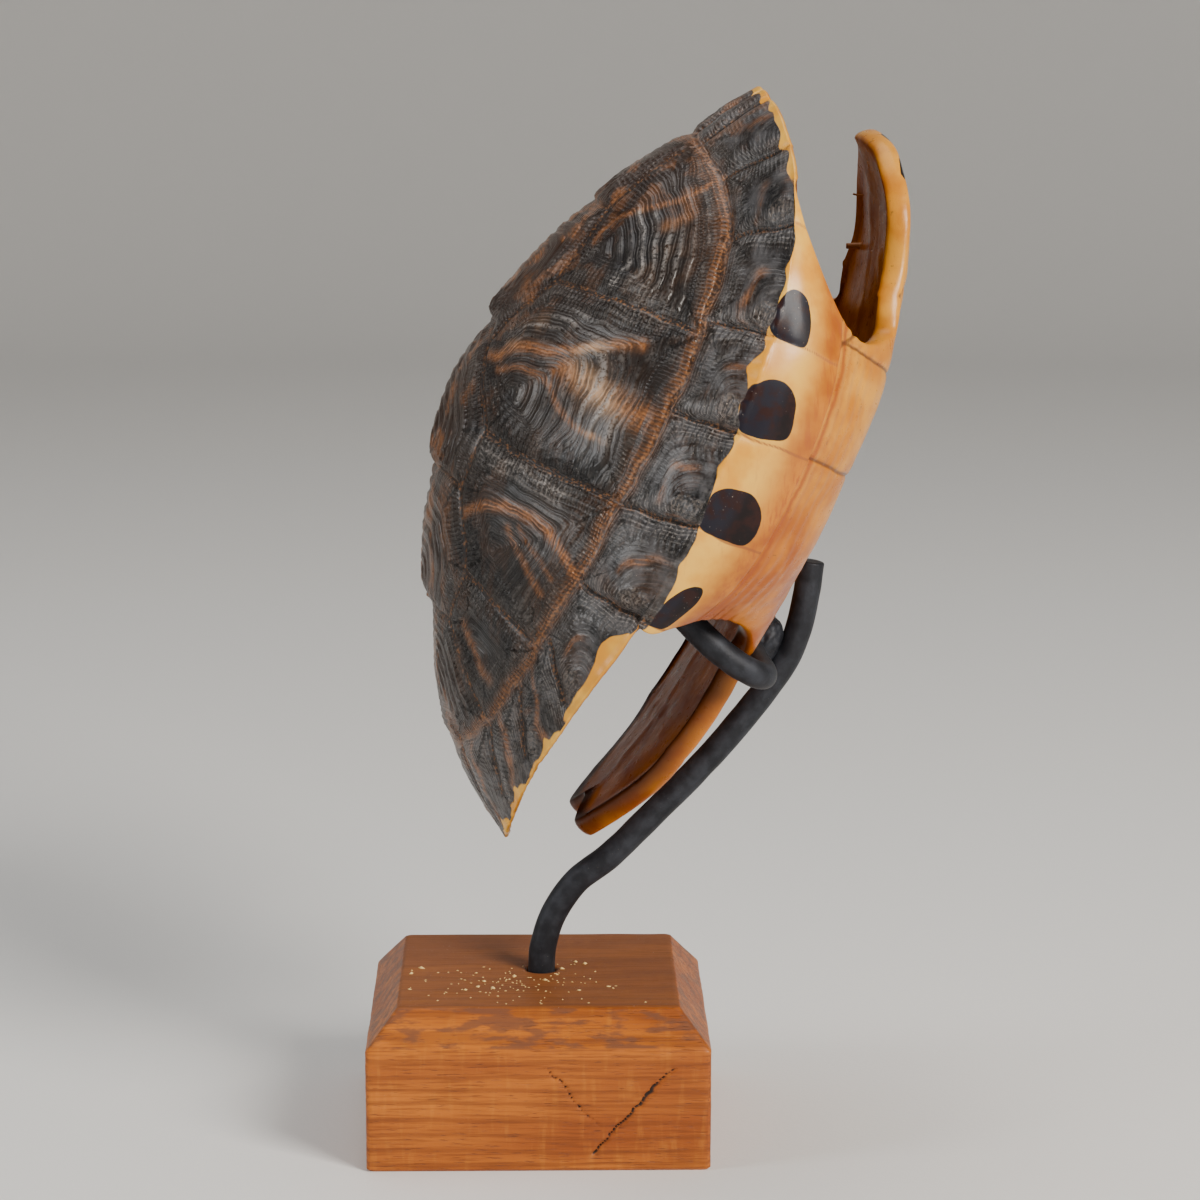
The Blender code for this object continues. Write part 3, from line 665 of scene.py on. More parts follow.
    return closed_sheet("carapace", outer, n, (60, 96), (3.0 * thin, 0.4),
                        4.0 * thin + carapace_inside(p), values,
                        dict(edge=5.0, spot=3.0, growth=0.0, seam=9.0, warm=0.0, pale=0.0, inner=1.0, loop=0.0,
                             knot=9.0))


def carapace_inside(p):
    """Extra depth of the inner wall: eight ribs to each side and the ridge of the spine."""
    x, y = p[..., 0], p[..., 1]
    ribs = 0.5 * np.clip(np.cos(TURN * (x + 0.12 * np.abs(y)) / 17.0), -0.3, 1) * step(8, 20, np.abs(y))
    spine = 4.5 * bell(y, 3.0) * (0.8 + 0.2 * np.cos(TURN * x / 14.0)) * step(78, 66, np.abs(x))
    return ribs + spine


def plastron():
    """Belly plate with its bridges: the underside grid moved along its normals by
    h = - 0.35 exp(-(d/0.45)^2) - 0.15 exp(-(d/2)^2) + 0.25 noise(20 mm) + 0.05 noise(5 mm)
    with d the distance to the nearest seam between its scutes; its free edges are thick and round."""
    s = np.linspace(-1, 1, ALONG)[:, None]
    w = np.linspace(SUTURE - 0.012, 2 - SUTURE + 0.012, BELLY)[None]
    p = under_sheet(*np.broadcast_arrays(s, w))
    n = smoothed(grid_normals(p, (0, 0, -1)))
    x = p[..., 0] + 0.7 * waves(p, 16.0, 21)
    y = p[..., 1] + 0.6 * waves(p, 14.0, 22)
    half = np.clip(np.abs(y) / 50.0, 0, 1)
    at_middle, toward_bridge = np.array(BELLY_SEAMS).T
    across = np.abs(x[..., None] - (at_middle + toward_bridge * half[..., None] ** 2))
    d = np.minimum(across.min(-1), np.abs(y))
    suture = np.broadcast_to(np.minimum(w - w[0, 0], w[0, -1] - w) * 50.0, d.shape)
    h = -0.35 * bell(d, 0.45) - 0.15 * bell(d, 2.0)
    h = h + 0.25 * waves(p, 20.0, 23) + 0.05 * waves(p, 5.0, 24) - 0.2
    h = h - 0.35 * (1 - step(0.2, 1.2, suture))
    fibres = 0.10 * np.sin(suture * 3.3 + 1.2 * waves(p, 9.0, 25)) * (1 - step(6, 11, suture))
    outer = p + n * (h + fibres)[..., None]
    mark = np.full(d.shape, 9.0)
    line = np.array(GULAR_MARK)
    for share in np.linspace(0, 1, 40):
        at = [np.interp(share * 3, np.arange(4), line[:, k]) for k in range(2)]
        mark = np.minimum(mark, np.hypot(p[..., 0] - at[0], np.abs(p[..., 1]) - at[1]) + 0.7 * share)
    values = dict(seam=d, suture=suture, tail=np.broadcast_to(-s, d.shape),
                  inner=np.zeros_like(d), mark=mark)
    wall = 4.2 + 0.15 * waves(p, 15.0, 26)
    return closed_sheet("plastron", outer, n, (60, 80), (5.0, 1.0), wall, values,
                        dict(seam=9.0, suture=20.0, inner=1.0, mark=9.0))


# stand

def through(points, spacing):
    """Catmull-Rom curve through the points, in even steps (mm)."""
    p = np.array(points, float)
    q = spline(np.vstack([2 * p[0] - p[1], p, 2 * p[-1] - p[-2]]), np.linspace(0, len(p) - 1, len(p) * 40))
    run = arc_length(q)
    at = np.linspace(0, run[-1], int(run[-1] / spacing))
    return np.stack([np.interp(at, run, q[:, k]) for k in range(3)], -1)


def round_bar(path, radius, across, seed, unevenness=0.12, sides=40):
    """Forged bar: circles of radius r (1 + noise) about the path, square to it, closed by a worn
    edge and a flat end at both ends."""
    tangent = unit(np.gradient(path, axis=0))
    side = unit(np.cross(tangent, across))
    other = np.cross(tangent, side)
    # rows of the worn end: how far in from the end (mm), share of the radius
    ends = np.array([(0.0, 0.45), (0.0, 0.88), (0.12, 0.97), (0.4, 1.0)])
    last = len(path) - 1
    at = np.concatenate([[0] * len(ends), np.arange(1, last), [last] * len(ends)]).astype(int)
    slide = np.concatenate([ends[:, 0], np.zeros(len(path) - 2), -ends[::-1, 0]])
    shrink = np.concatenate([ends[:, 1], np.ones(len(path) - 2), ends[::-1, 1]])
    theta = full_turn(sides)[None, :, None]
    ring = side[at][:, None] * np.cos(theta) + other[at][:, None] * np.sin(theta)
    middle = (path[at] + tangent[at] * slide[:, None])[:, None]
    even = middle + ring * radius
    dent = unevenness * (0.6 * waves(even, 14.0, seed) + 0.4 * waves(even, 5.0, seed + 1)) - 0.5 * unevenness
    p = middle + ring * ((radius + dent) * shrink[:, None])[..., None]
    return np.vstack([p.reshape(-1, 3), path[:1], path[-1:]]), *tube_faces(len(at), sides)


def support_rod():
    """Rod from its hole up under the belly plate."""
    lower = np.array([(0.7, 0, 17.2), (0.7, 0, 34.1), (1.3, 0, 40.5), (3.6, 0, 47.5), (8.6, 0, 54.8)])
    upper = np.array([(-82.0, 0, -1.4), (-67.5, 0, -6.6), (-52.5, 0, -11.6), (-41.0, 0, -14.6),
                      (-31.0, 0, -16.6), (-23.0, 0, -17.0), (-14.5, 0, -15.6), (-4.3, 0, -12.5)])
    path = through(np.vstack([lower, to_object(upper) / MM]), 0.7)
    points, quads, tris = round_bar(path, ROD_RADIUS, np.array([0.0, 1.0, 0.0]), 31)
    return new_piece("support_rod_bar", points * MM, quads, tris)


def hook_bar():
    """Cross bar with two arms hooked into the leg openings."""
    half = [(-21.5, 33.5, 15.0), (-24.4, 35.0, 7.0), (-26.3, 35.2, 0.0), (-27.0, 33.8, -5.6),
            (-27.0, 29.6, -8.5), (-27.0, 16.0, -8.3)]
    path = to_object(through(half + [(x, -y, z) for x, y, z in reversed(half)], 0.7)) / MM
    points, quads, tris = round_bar(path, ROD_RADIUS, AHEAD, 35)
    return new_piece("hook_bar_bar", points * MM, quads, tris)


def dry_tags():
    """Two dried tags on the far lip of the belly plate's front lobe, round in section."""
    points, quads, tris, count = [], [], [], 0
    for radius, path in TAGS:
        bar = round_bar(through(path, 0.15), radius, np.array([0.0, 1.0, 0.0]), 71, 0.25 * radius, 16)
        points.append(bar[0])
        quads.append(bar[1] + count)
        tris.append(bar[2] + count)
        count += len(bar[0])
    return new_piece("dry_tags", to_object(np.vstack(points)), np.vstack(quads), np.vstack(tris))


def weld_lump():
    """Weld between the bars: an ellipsoid whose radius swells by noise(5 mm) and noise(1.8 mm)."""
    rows, columns = 60, 90
    lat = np.linspace(0, math.pi, rows)[1:-1, None]
    lon = full_turn(columns)[None]
    ball = np.stack([np.sin(lat) * np.cos(lon), np.sin(lat) * np.sin(lon), np.cos(lat) * np.ones_like(lon)], -1)
    ball = np.concatenate([ball.reshape(-1, 3), [[0, 0, 1], [0, 0, -1]]])
    size = 1 + 0.07 * waves(ball * 6, 5.0, 41) + 0.035 * waves(ball * 6, 1.8, 42)
    p = ball * (6.0, 5.2, 3.6) * size[:, None] + (-25.0, 0, -10.9)
    quads, tris = tube_faces(rows - 2, columns)
    return new_piece("weld_lump", to_object(p), quads[:, ::-1], tris[:, ::-1])


def block():
    """Wooden block: the rows of PROFILE carried round a square with rounded corners, then drawn in
    to the circle of the hole and down to its bottom; the splits are exp(-1.2 d^2) deep, d counted
    in their half widths."""
    corners = np.array([corner for _, corner in PROFILE] + [PROFILE[-1][1]])
    rows = np.concatenate([np.linspace(a, b, count, endpoint=False)
                           for a, b, (count, _) in zip(corners[:-1], corners[1:], PROFILE)])
    half, corner, height, morph = [rows[:, k, None] for k in range(4)]
    count = 560
    u = np.linspace(0, 8, count, endpoint=False)[None]
    c, s = np.cos(u * math.pi / 4), np.sin(u * math.pi / 4)
    reach = np.maximum(np.abs(c), np.abs(s))
    qx, qy = c / reach * half, s / reach * half
    flat = half - corner
    cx, cy = np.clip(qx, -flat, flat), np.clip(qy, -flat, flat)
    away = np.hypot(qx - cx, qy - cy)
    tuck = np.where(away > 1e-6, corner / np.maximum(away, 1e-6), 1)
    at_corner = (np.abs(qx) > flat) & (np.abs(qy) > flat)
    bx = np.where(at_corner, cx + (qx - cx) * tuck, qx)
    by = np.where(at_corner, cy + (qy - cy) * tuck, qy)
    ox = mix(bx, c * half, morph) + ROD_FOOT_X * morph
    oy = mix(by, s * half, morph)
    height = np.broadcast_to(height, ox.shape)
    p = np.stack([ox, oy, height], -1)
    n = unit(np.stack([ox, oy, np.zeros_like(ox)], -1))
    outside = (height > 0.3) & (half > 5) & (height < 34.5)
    dents = 0.06 * waves(p, 18.0, 51) + 0.03 * waves(p, 4.0, 52)
    front = (oy < -half * 0.97) & (height > 0.5) & (height < 26.9)
    xz = np.stack([ox + 0.30 * waves(p, 2.2, 53), height + 0.35 * waves(p, 3.0, 54)], -1)
    split = np.zeros_like(ox)
    for crack in CRACKS:
        at = np.linspace(0, len(crack) - 1, 160)
        line = np.stack([np.interp(at, np.arange(len(crack)), column) for column in zip(*crack)], -1)
        d = (np.linalg.norm(xz[..., None, :] - line[:, :2], axis=-1) / line[:, 2]).min(-1)
        split = np.maximum(split, np.where(front, np.exp(-1.2 * d ** 2), 0))
    p += n * (dents * outside - 1.1 * split)[..., None]
    p[..., 2] += 0.05 * waves(p, 12.0, 55) * ((height > 34.5) & (half > 6))
    p[..., 0:2] = np.clip(p[..., 0:2], -BLOCK_HALF, BLOCK_HALF)
    p[..., 2] = np.clip(p[..., 2], 0, BLOCK_TOP)
    points = np.vstack([p.reshape(-1, 3), [[0, 0, 0], [ROD_FOOT_X, 0, HOLE_FLOOR]]])
    split = np.append(split.ravel(), [0, 0])
    return new_piece("block", points * MM, *tube_faces(len(rows), count), dict(split=split))


def crumbs(name, count, seed, middle, spread, size):
    """Tiny chips lying on the block: octahedra stretched at random, each turned about Z."""
    rng = np.random.default_rng(seed)
    shape = np.array([(1, 0, 0), (0, 1, 0), (-1, 0, 0), (0, -1, 0), (0, 0, 1), (0, 0, -1)], float)
    faces = np.array([(0, 1, 4), (1, 2, 4), (2, 3, 4), (3, 0, 4), (1, 0, 5), (2, 1, 5), (3, 2, 5), (0, 3, 5)])
    scale = rng.uniform(0.4, 1.0, (count, 1, 3)) * (size, size * 0.6, size * 0.4)
    turn = rng.uniform(0, TURN, count)
    c, s = np.cos(turn)[:, None], np.sin(turn)[:, None]
    q = shape[None] * scale
    q = np.stack([q[..., 0] * c - q[..., 1] * s, q[..., 0] * s + q[..., 1] * c, q[..., 2]], -1)
    place = np.concatenate([rng.normal(size=(count, 2)) * spread + middle, np.full((count, 1), BLOCK_TOP)], 1)
    place[:, :2] = np.clip(place[:, :2], -28, 28)
    off = np.hypot(place[:, 0] - ROD_FOOT_X, place[:, 1])
    place[:, :2] += np.where(off < 4.5, 5.0, 0)[:, None]
    points = (q + place[:, None]).reshape(-1, 3)
    tris = (faces[None] + 6 * np.arange(count)[:, None, None]).reshape(-1, 3)
    return new_piece(name, points * MM, np.empty((0, 4), int), tris)


# materials

class Value:
    """An output of a shader node; arithmetic on it adds math nodes to the same tree."""

    def __init__(self, socket):
        self.socket = socket
        self.tree = socket.id_data

    def __mul__(self, other):
        return calc(self.tree, "MULTIPLY", self, other)

    def __add__(self, other):
        return calc(self.tree, "ADD", self, other)

    def __sub__(self, other):
        return calc(self.tree, "SUBTRACT", self, other)

    def __rsub__(self, other):
        return calc(self.tree, "SUBTRACT", other, self)

    def __pow__(self, other):
        return calc(self.tree, "POWER", self, other)

    def scaled(self, factor, offset):
        """This times the factor plus the offset."""
        return calc(self.tree, "MULTIPLY_ADD", self, factor, offset)

    def most(self, other):
        """The larger of the two."""
        return calc(self.tree, "MAXIMUM", self, other)

    def wave(self):
        """Sine of this, brought to 0..1."""
        return calc(self.tree, "SINE", self).scaled(0.5, 0.5)

    def clamped(self):
        """The same, held within 0..1."""
        self.socket.node.use_clamp = True
        return self

    def band(self, low, high):
        """0 below low, 1 above high, smooth between; falls instead where low is the larger."""
        ends = (low, high, 0.0, 1.0) if low < high else (high, low, 1.0, 0.0)
        return node(self.tree, "MapRange", dict(enumerate((self, *ends))), interpolation_type="SMOOTHSTEP")

    def noise(self, scale, detail=3.0, roughness=0.55):
        """Noise of about 0 to 1 at this place."""
        return node(self.tree, "TexNoise", {"Vector": self, "Scale": scale, "Detail": detail,
                                            "Roughness": roughness})

    def blend(self, a, b):
        """Colour a turned into b by this share."""
        return node(self.tree, "Mix", {0: self, 6: a, 7: b}, 2, data_type="RGBA", blend_type="MIX")


def fill(made, inputs):
    """Sets a node's inputs, by name or place, to numbers, colours or values."""
    for key, value in inputs.items():
        socket = made.inputs[key]
        if isinstance(value, Value):
            value.tree.links.new(value.socket, socket)
        else:
            socket.default_value = (*value, 1) if socket.type == "RGBA" else value


def node(tree, kind, inputs, output=0, **settings):
    """Adds a node with its settings and inputs, and returns one of its outputs."""
    made = tree.nodes.new("ShaderNode" + kind)
    for key, value in settings.items():
        setattr(made, key, value)
    fill(made, inputs)
    return Value(made.outputs[output])


def calc(tree, operation, a, b=0.0, c=0.0):
    """Result of one math operation."""
    return node(tree, "Math", {0: a, 1: b, 2: c}, operation=operation)


def point_values(tree, *names):
    """Values kept on the piece's points."""
    return [node(tree, "Attribute", {}, "Fac", attribute_name=name) for name in names]


def object_place(tree, stretch=(1000, 1000, 1000), turn=(0, 0, 0)):
    """Place in the object's own frame, in millimetres unless stretched."""
    return node(tree, "Mapping", {0: node(tree, "TexCoord", {}, "Object"), 2: turn, 3: stretch})


def new_group(name, inputs, outputs):
    """Node group with named float or colour sockets: the group, its given values, its result."""
    group = bpy.data.node_groups.new(name, "ShaderNodeTree")
    for way, sockets in (("INPUT", inputs), ("OUTPUT", outputs)):
        for label, kind in sockets.items():
            group.interface.new_socket(label, in_out=way, socket_type="NodeSocket" + kind)
    given, result = group.nodes.new("NodeGroupInput"), group.nodes.new("NodeGroupOutput")
    return group, {label: Value(given.outputs[label]) for label in inputs}, result


def use_group(tree, group, inputs):
    """Outputs by name of the group used with these inputs."""
    made = tree.nodes.new("ShaderNodeGroup")
    made.node_tree = group
    fill(made, inputs)
    return {socket.name: Value(socket) for socket in made.outputs}


def layered(color, *layers):
    """The colour with each layer, a share and a colour, laid over what is below."""
    for share, shade in layers:
        color = share.blend(color, shade)
    return color


def dust_group():
    """Fine pale specks and a thin film of dust, for any piece."""
    group, given, result = new_group("fine_dust", {"Color": "Color", "Amount": "Float"},
                                     {"Color": "Color", "Mask": "Float"})
    place = object_place(group)
    specks, patches = place.noise(2.6, 1.0, 0.4).band(0.74, 0.80), place.noise(0.09, 2.0).band(0.42, 0.62)
    mask = specks * patches * given["Amount"]
    fill(result, {"Color": mask.blend(given["Color"], (0.42, 0.36, 0.30)), "Mask": mask})
    return group


def horn_group():
    """Clear yellow horn: cream to amber in clouds, finer streaks, redder where Depth is high; the second input
    paints shade, turning the colour toward a deep brown.
    """
    group, given, result = new_group("clear_horn", {"Depth": "Float", "PaintedShade": "Float"},
                                     {"Color": "Color", "Roughness": "Float"})
    place = object_place(group)
    clouds, streaks = place.noise(0.11), object_place(group, (1500, 1500, 350)).noise(0.7)
    pale = clouds.band(0.35, 0.68).blend((0.80, 0.43, 0.055), (0.68, 0.28, 0.014))
    deep = clouds.band(0.3, 0.7).blend((0.50, 0.155, 0.004), (0.30, 0.062, 0.002))
    color = given["Depth"].blend(pale, deep)
    color = (streaks.band(0.55, 0.8) * 0.25).blend(color, (0.42, 0.14, 0.03))
    # painted shade: the second input darkens the horn toward deep brown where the inside lies in shadow
    fill(result, {"Color": given["PaintedShade"].blend(color, (0.10, 0.032, 0.012)),
                  "Roughness": place.noise(0.4).band(0.2, 0.9)})
    return group


def new_material(name, metallic=0.0, coat=0.0):
    """Empty Principled material; returns it, its tree and its shader."""
    material = bpy.data.materials.new(name)
    material.use_nodes = True
    shader = material.node_tree.nodes["Principled BSDF"]
    fill(shader, {"Metallic": metallic, "Coat Weight": coat, "Coat Roughness": 0.2, "Specular IOR Level": SHINE})
    return material, material.node_tree, shader


def finish_material(shader, color, roughness, height, depth, shine=SHINE):
    """Joins colour, roughness and a bump of the given depth in millimetres."""
    bump = node(shader.id_data, "Bump", {"Height": height, "Distance": depth * MM, "Strength": 1.0})
    fill(shader, {"Base Color": color, "Roughness": roughness, "Normal": bump, "Specular IOR Level": shine})


def back_plate_material(dust, horn):
    """Dark scutes with growth lines, comb lines at the seams, orange-brown arcs, and yellow horn
    with dark blotches under the rim; the greyish growth lines and combs are partly painted highlights,
    the marginals carry a painted greyish sheen, and the inner surface carries painted shade."""
    material, tree, shader = new_material("scute_horn", coat=0.12)
    place = object_place(tree)
    growth, seam, along, edge, spot, warm, pale, middle, marginal, inner, loop, knot, under = point_values(
        tree, "growth", "seam", "along", "edge", "spot", "warm", "pale", "middle", "marginal", "inner", "loop",
        "knot", "under")
    mid, fine, slow = place.noise(0.35, 4.0), place.noise(1.6, 4.0), place.noise(0.13, 2.0)

    def lines(value, pitch, wander, sharp):
        return (slow.scaled(wander, value) * (TURN / pitch)).wave() ** sharp

    rings, hairs = lines(growth, 1.0, 0.4, 3.0), lines(growth, 0.31, 0.4, 3.0)
    edging = marginal * seam.band(5.5, 2.5)
    teeth = lines(along, 0.95, 1.3, 1.6)
    comb = teeth * (seam.band(0.5, 1.2) * seam.band(7.5, 3.5))
    beyond = mid.scaled(0.5, edge - 0.25).band(-0.14, 0.14)
    blotch = beyond * mid.scaled(0.06, spot).band(1.05, 1.01)
    yellow = (beyond - blotch).clamped()

    # dark horn, orange-brown marks, greyish growth lines and combs that are partly painted highlights on the
    # ridges, and a painted greyish sheen on the marginals
    # painted sheen: pale greyish patches over the marginals stand in for the glare of light on their glossy horn
    painted_sheen = place.noise(0.28, 4.0).band(0.38, 0.66)
    dark = place.noise(0.07).band(0.35, 0.65).blend((0.0055, 0.0050, 0.0055), (0.016, 0.0095, 0.0065))
    dark = layered(dark, (middle * 0.75, (0.042, 0.018, 0.009)),
                   (marginal * (painted_sheen * 0.7), (0.085, 0.083, 0.087)))
    flames = object_place(tree, (1000, 1000, 500)).noise(0.16, 4.0).band(0.5, 0.62) * middle.scaled(0.6, 0.06)
    warm = warm.most(flames).most(loop * 0.6)
    warm = (warm * hairs.scaled(0.35, mid).band(0.34, 0.72).scaled(0.75, 0.25)).clamped()
    warm = (warm * (1.0 - teeth * (loop * 0.7))).clamped()
    orange = fine.band(0.3, 0.7).blend((0.22, 0.078, 0.022), (0.42, 0.165, 0.052))
    color = warm.blend(dark, pale.blend(orange, (0.66, 0.40, 0.22)))
    patchy = place.noise(0.2).band(0.42, 0.62) * 0.14
    # the greyish colour on the growth lines and combs is partly pale line, partly painted highlight of light
    # caught on the ridges
    pale_lines_and_highlights = rings.most(hairs * 0.5) * pale.scaled(0.55, patchy)
    pale_lines_and_highlights = pale_lines_and_highlights.most(comb * pale.scaled(0.5, patchy)).most(edging * hairs * 0.3)
    rough_knot, crust = knot.band(2.7, 1.9) * fine.band(0.45, 0.6), seam.band(0.9, 0.5) * fine.band(0.50, 0.66)
    groove = seam.band(0.6, 0.2) * loop.scaled(-0.75, 1.0)
    color = layered(color, ((pale_lines_and_highlights * fine.band(0.36, 0.56)).clamped(), (0.40, 0.37, 0.35)),
                    (rough_knot * 0.5, (0.16, 0.13, 0.11)), (groove * 0.85, (0.012, 0.007, 0.006)),
                    (crust * 0.55, (0.34, 0.14, 0.042)))

    # yellow horn under the rim, amber toward the suture, and its blotches
    # the inner surface is deep amber with painted shade
    clear = use_group(tree, horn, {"Depth": (inner * 0.9).most(under.band(0.35, 0.9) * 0.95),
                                   "PaintedShade": inner * 0.75})
    streaks = object_place(tree, (1500, 1500, 260)).noise(0.9).band(0.45, 0.7) * under.band(0.62, 0.92)
    color = yellow.blend(color, (streaks * 0.7).blend(clear["Color"], (0.33, 0.068, 0.012)))
    color = (seam.band(0.42, 0.12) * yellow * 0.8).blend(color, (0.26, 0.075, 0.022))
    bluish = under.band(0.3, 0.5).blend((0.012, 0.011, 0.018), (0.007, 0.0035, 0.004))
    color = blotch.blend(color, mid.band(0.42, 0.68).blend(bluish, (0.022, 0.0065, 0.005)))
    dusty = use_group(tree, dust, {"Color": color, "Amount": (0.75 - yellow).clamped()})

    rough = fine.scaled(0.22, beyond.scaled(0.02, 0.20)) + (groove * 0.3).most(blotch * 0.13)
    top = 1.0 - beyond
    flat = (1.0 - (marginal - edging) * 0.7).clamped()
    height = (rings.scaled(0.5, hairs * 0.3) * flat + comb * 0.8) * top
    height = fine.scaled(top.scaled(0.25, 0.05), height)
    finish_material(shader, dusty["Color"], rough.clamped(), height, 0.24, blotch.scaled(-0.2, SHINE))
    return material


def belly_plate_material(dust, horn):
    """Amber horn, redder toward the tail and along the suture, with fine dark seams, and painted shade on its
    inner surface that deepens toward the tail.
    """
    material, tree, shader = new_material("belly_horn", coat=0.04)
    place = object_place(tree)
    seam, suture, tail, inner, mark = point_values(tree, "seam", "suture", "tail", "inner", "mark")
    mid = place.noise(0.3, 4.0)
    streak = mid.scaled(5.0, suture * 3.4).wave() ** 1.5
    at_suture = suture.band(5.2, 0.8)
    # the inner surface gets painted shade, stronger toward the tail
    clear = use_group(tree, horn, {"Depth": tail.band(-0.6, 0.6).scaled(0.45, 0.55).most(inner),
                                   "PaintedShade": inner * tail.band(-0.1, 1.0)})
    color = (streak.scaled(0.65, 0.3) * at_suture).blend(clear["Color"], (0.30, 0.060, 0.008))
    # painted shade: the inner surface toward the tail is darkened further to near black-brown
    near_seam, painted_shade_inside = seam.band(3.0, 0.3) * mid.band(0.45, 0.65), inner * tail.band(0.0, 0.7)
    color = layered(color, (near_seam * 0.35, (0.30, 0.09, 0.02)),
                    (seam.band(0.55, 0.15) * 0.75, (0.07, 0.022, 0.010)),
                    (mark.band(2.0, 1.75), (0.012, 0.008, 0.008)), (painted_shade_inside * 0.9, (0.040, 0.008, 0.001)),
                    (place.noise(0.75, 2.0).band(0.68, 0.74) * 0.5, (0.09, 0.04, 0.02)))
    dusty = use_group(tree, dust, {"Color": color, "Amount": inner.scaled(-0.2, 0.2)})
    height = (streak * at_suture).scaled(0.5, mid)
    finish_material(shader, dusty["Color"], clear["Roughness"].scaled(0.2, 0.24), height, 0.12,
                    inner.scaled(-0.25, SHINE))
    return material


def steel_material(dust):
    """Blackened steel, matt with a bluish cast."""
    material, tree, shader = new_material("blackened_steel", metallic=0.35)
    place = object_place(tree)
    cloud = place.noise(0.25, 4.0)
    color = cloud.band(0.35, 0.7).blend((0.013, 0.014, 0.018), (0.032, 0.035, 0.044))
    dusty = use_group(tree, dust, {"Color": color, "Amount": 0.15})
    finish_material(shader, dusty["Color"], cloud.scaled(0.25, 0.42), place.noise(2.2), 0.06)
    return material


def wood_material(dust):
    """Red-brown wood, grain along X, with growth rings about an axis below the block that show on
    its ends, darker and dusty on top, figured on the chamfer, with painted shade in its splits."""
    material, tree, shader = new_material("red_brown_wood", coat=0.08)
    place = object_place(tree)
    y, z = (node(tree, "SeparateXYZ", {0: place}, k) for k in (1, 2))
    cloud = object_place(tree, (90, 500, 500)).noise(0.16)
    fibres = object_place(tree, (60, 1500, 1500)).noise(1.3)
    pores = object_place(tree, (180, 2200, 2200)).noise(1.5, 2.0)
    ripple = object_place(tree, (1400, 300, 260)).noise(0.35)
    figure = object_place(tree, (330, 900, 1100), (0, 0.6, 0)).noise(0.36, 5.0).band(0.46, 0.58)
    split, = point_values(tree, "split")
    far = calc(tree, "SQRT", (z + 62.0).scaled(z + 62.0, (y - 18.0) * (y - 18.0)))
    ring = calc(tree, "SINE", cloud.scaled(5.0, far) * (TURN / 2.6)).band(0.3, 1.0)
    top = z.band(34.2, 34.5)
    chamfer = z.band(26.9, 27.3) * (1.0 - top)
    color = cloud.band(0.3, 0.7).blend((0.50, 0.140, 0.010), (0.27, 0.060, 0.005))
    # the last layer paints the splits near black: painted shade inside the cracks
    color = layered(color, (ripple.band(0.5, 0.75) * 0.30, (0.58, 0.20, 0.018)),
                    (fibres.band(0.45, 0.68) * 0.55, (0.13, 0.030, 0.004)), (ring * 0.45, (0.15, 0.034, 0.004)),
                    (chamfer * (figure * 0.75), (0.13, 0.050, 0.026)), (top * 0.72, (0.165, 0.055, 0.015)),
                    (pores.band(0.62, 0.70) * 0.55, (0.07, 0.022, 0.010)),
                    (split.band(0.15, 0.6), (0.020, 0.010, 0.006)))
    dusty = use_group(tree, dust, {"Color": color, "Amount": top.scaled(0.9, 0.1)})
    height = fibres.scaled(0.6, pores.band(0.72, 0.6) * 0.6)
    rough = split.scaled(0.4, top.scaled(0.22, fibres.scaled(0.2, 0.33))).clamped()
    finish_material(shader, dusty["Color"], rough, height, 0.10)
    return material


def plain_material(name, color, roughness):
    """One colour, with a slight unevenness of the surface."""
    material, tree, shader = new_material(name)
    finish_material(shader, color, roughness, object_place(tree).noise(0.8, 2.0), 0.05)
    return material


dust = dust_group()
horn = horn_group()
back_horn = back_plate_material(dust, horn)
belly_horn = belly_plate_material(dust, horn)
steel = steel_material(dust)
wood = wood_material(dust)
straw = plain_material("straw_dust", (0.85, 0.60, 0.24), 0.5)

pieces = ((carapace(), back_horn, "turtle_shell", "shell_horn"),
          (plastron(), belly_horn, "turtle_shell", "shell_horn"),
          (support_rod(), steel, "support_rod", "black_steel"),
          (hook_bar(), steel, "hook_bar", "black_steel"),
          (weld_lump(), steel, "hook_bar", "black_steel"),
          (block(), wood, "wood_base", "block_wood"))
for piece, look, stands_for, place in pieces:
    piece.data.materials.append(look)
    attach(piece, "root")
    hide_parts(stands_for)
for loose, look in ((crumbs("sawdust", 120, 61, (-4, -12), (11, 8), 0.45), straw),
                    (crumbs("straw_flakes", 14, 62, (-6, -8), (13, 8), 1.1), straw),
                    (dry_tags(), plain_material("dry_tag", (0.50, 0.20, 0.05), 0.45))):
    loose.data.materials.append(look)
    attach(loose, "root")


# floor, light and camera

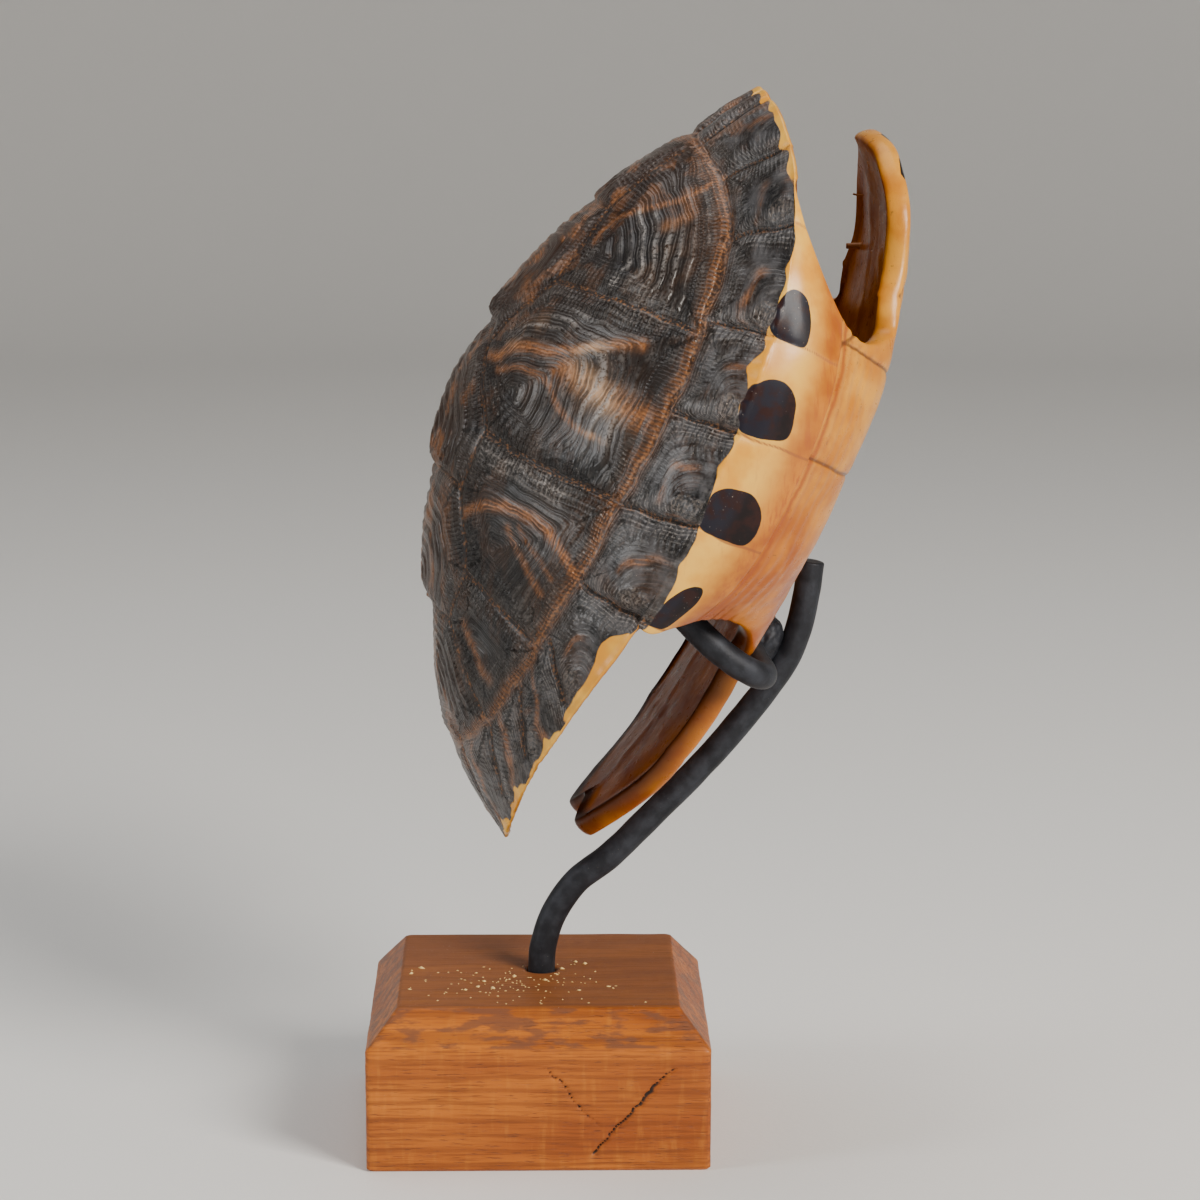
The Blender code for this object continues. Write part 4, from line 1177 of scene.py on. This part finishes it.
def soft_light(name, place, aim, size, power, color=(1, 1, 1)):
    """Square area light turned to its aim."""
    data = bpy.data.lights.new(name, "AREA")
    data.size = size
    data.energy = power
    data.color = color
    obj = bpy.data.objects.new(name, data)
    obj.location = place
    obj.rotation_euler = (Vector(aim) - Vector(place)).to_track_quat("-Z", "Y").to_euler()
    bpy.context.scene.collection.objects.link(obj)
    return obj


def studio_floor():
    """Round floor that curves up into a wall: flat to 1.5 m, a quarter circle of 0.7 m, then upright."""
    flat, curve, sides = 1.5, 0.7, 96
    bend = np.linspace(0, math.pi / 2, 25)[1:]
    r = np.concatenate([np.linspace(0.02, flat, 24), flat + curve * np.sin(bend), [2.2, 2.2]])
    z = np.concatenate([np.zeros(24), curve * (1 - np.cos(bend)), [1.2, 1.8]])
    turn = full_turn(sides)
    points = np.stack([np.outer(r, np.cos(turn)), np.outer(r, np.sin(turn)), np.outer(z, np.ones(sides))], -1)
    quads, tris = tube_faces(len(r), sides)
    return new_piece("floor", np.vstack([points.reshape(-1, 3), [[0, 0, 0]]]), quads, tris[:sides])


floor = studio_floor()
floor.data.materials.append(plain_material("pale_floor", (0.78, 0.77, 0.75), 0.7))
middle = (0.02, 0, 0.12)
lights = [soft_light("key", (0.75, -0.85, 0.75), middle, 0.45, 24, (1, 0.95, 0.88)),
          soft_light("rim", (-1.05, -0.4, 0.5), middle, 0.35, 4.5),
          soft_light("top", (-0.1, 0.2, 1.2), middle, 0.8, 5)]
world = bpy.data.worlds.new("studio")
bpy.context.scene.world = world
world.use_nodes = True
fill(world.node_tree.nodes["Background"], {"Color": (0.80, 0.81, 0.83), "Strength": 0.16})

lens = bpy.data.cameras.new("camera")
lens.lens = 116.8
lens.sensor_width = 36
lens.clip_start = 0.05
lens.clip_end = 20
camera = bpy.data.objects.new("camera", lens)
bpy.context.scene.collection.objects.link(camera)
camera.location = (0, -0.837, 0.2664)
tilt, yaw = 0.1757, 0.0164
forward = Vector((math.sin(yaw) * math.cos(tilt), math.cos(yaw) * math.cos(tilt), -math.sin(tilt)))
camera.rotation_euler = forward.to_track_quat("-Z", "Y").to_euler()
bpy.context.scene.camera = camera
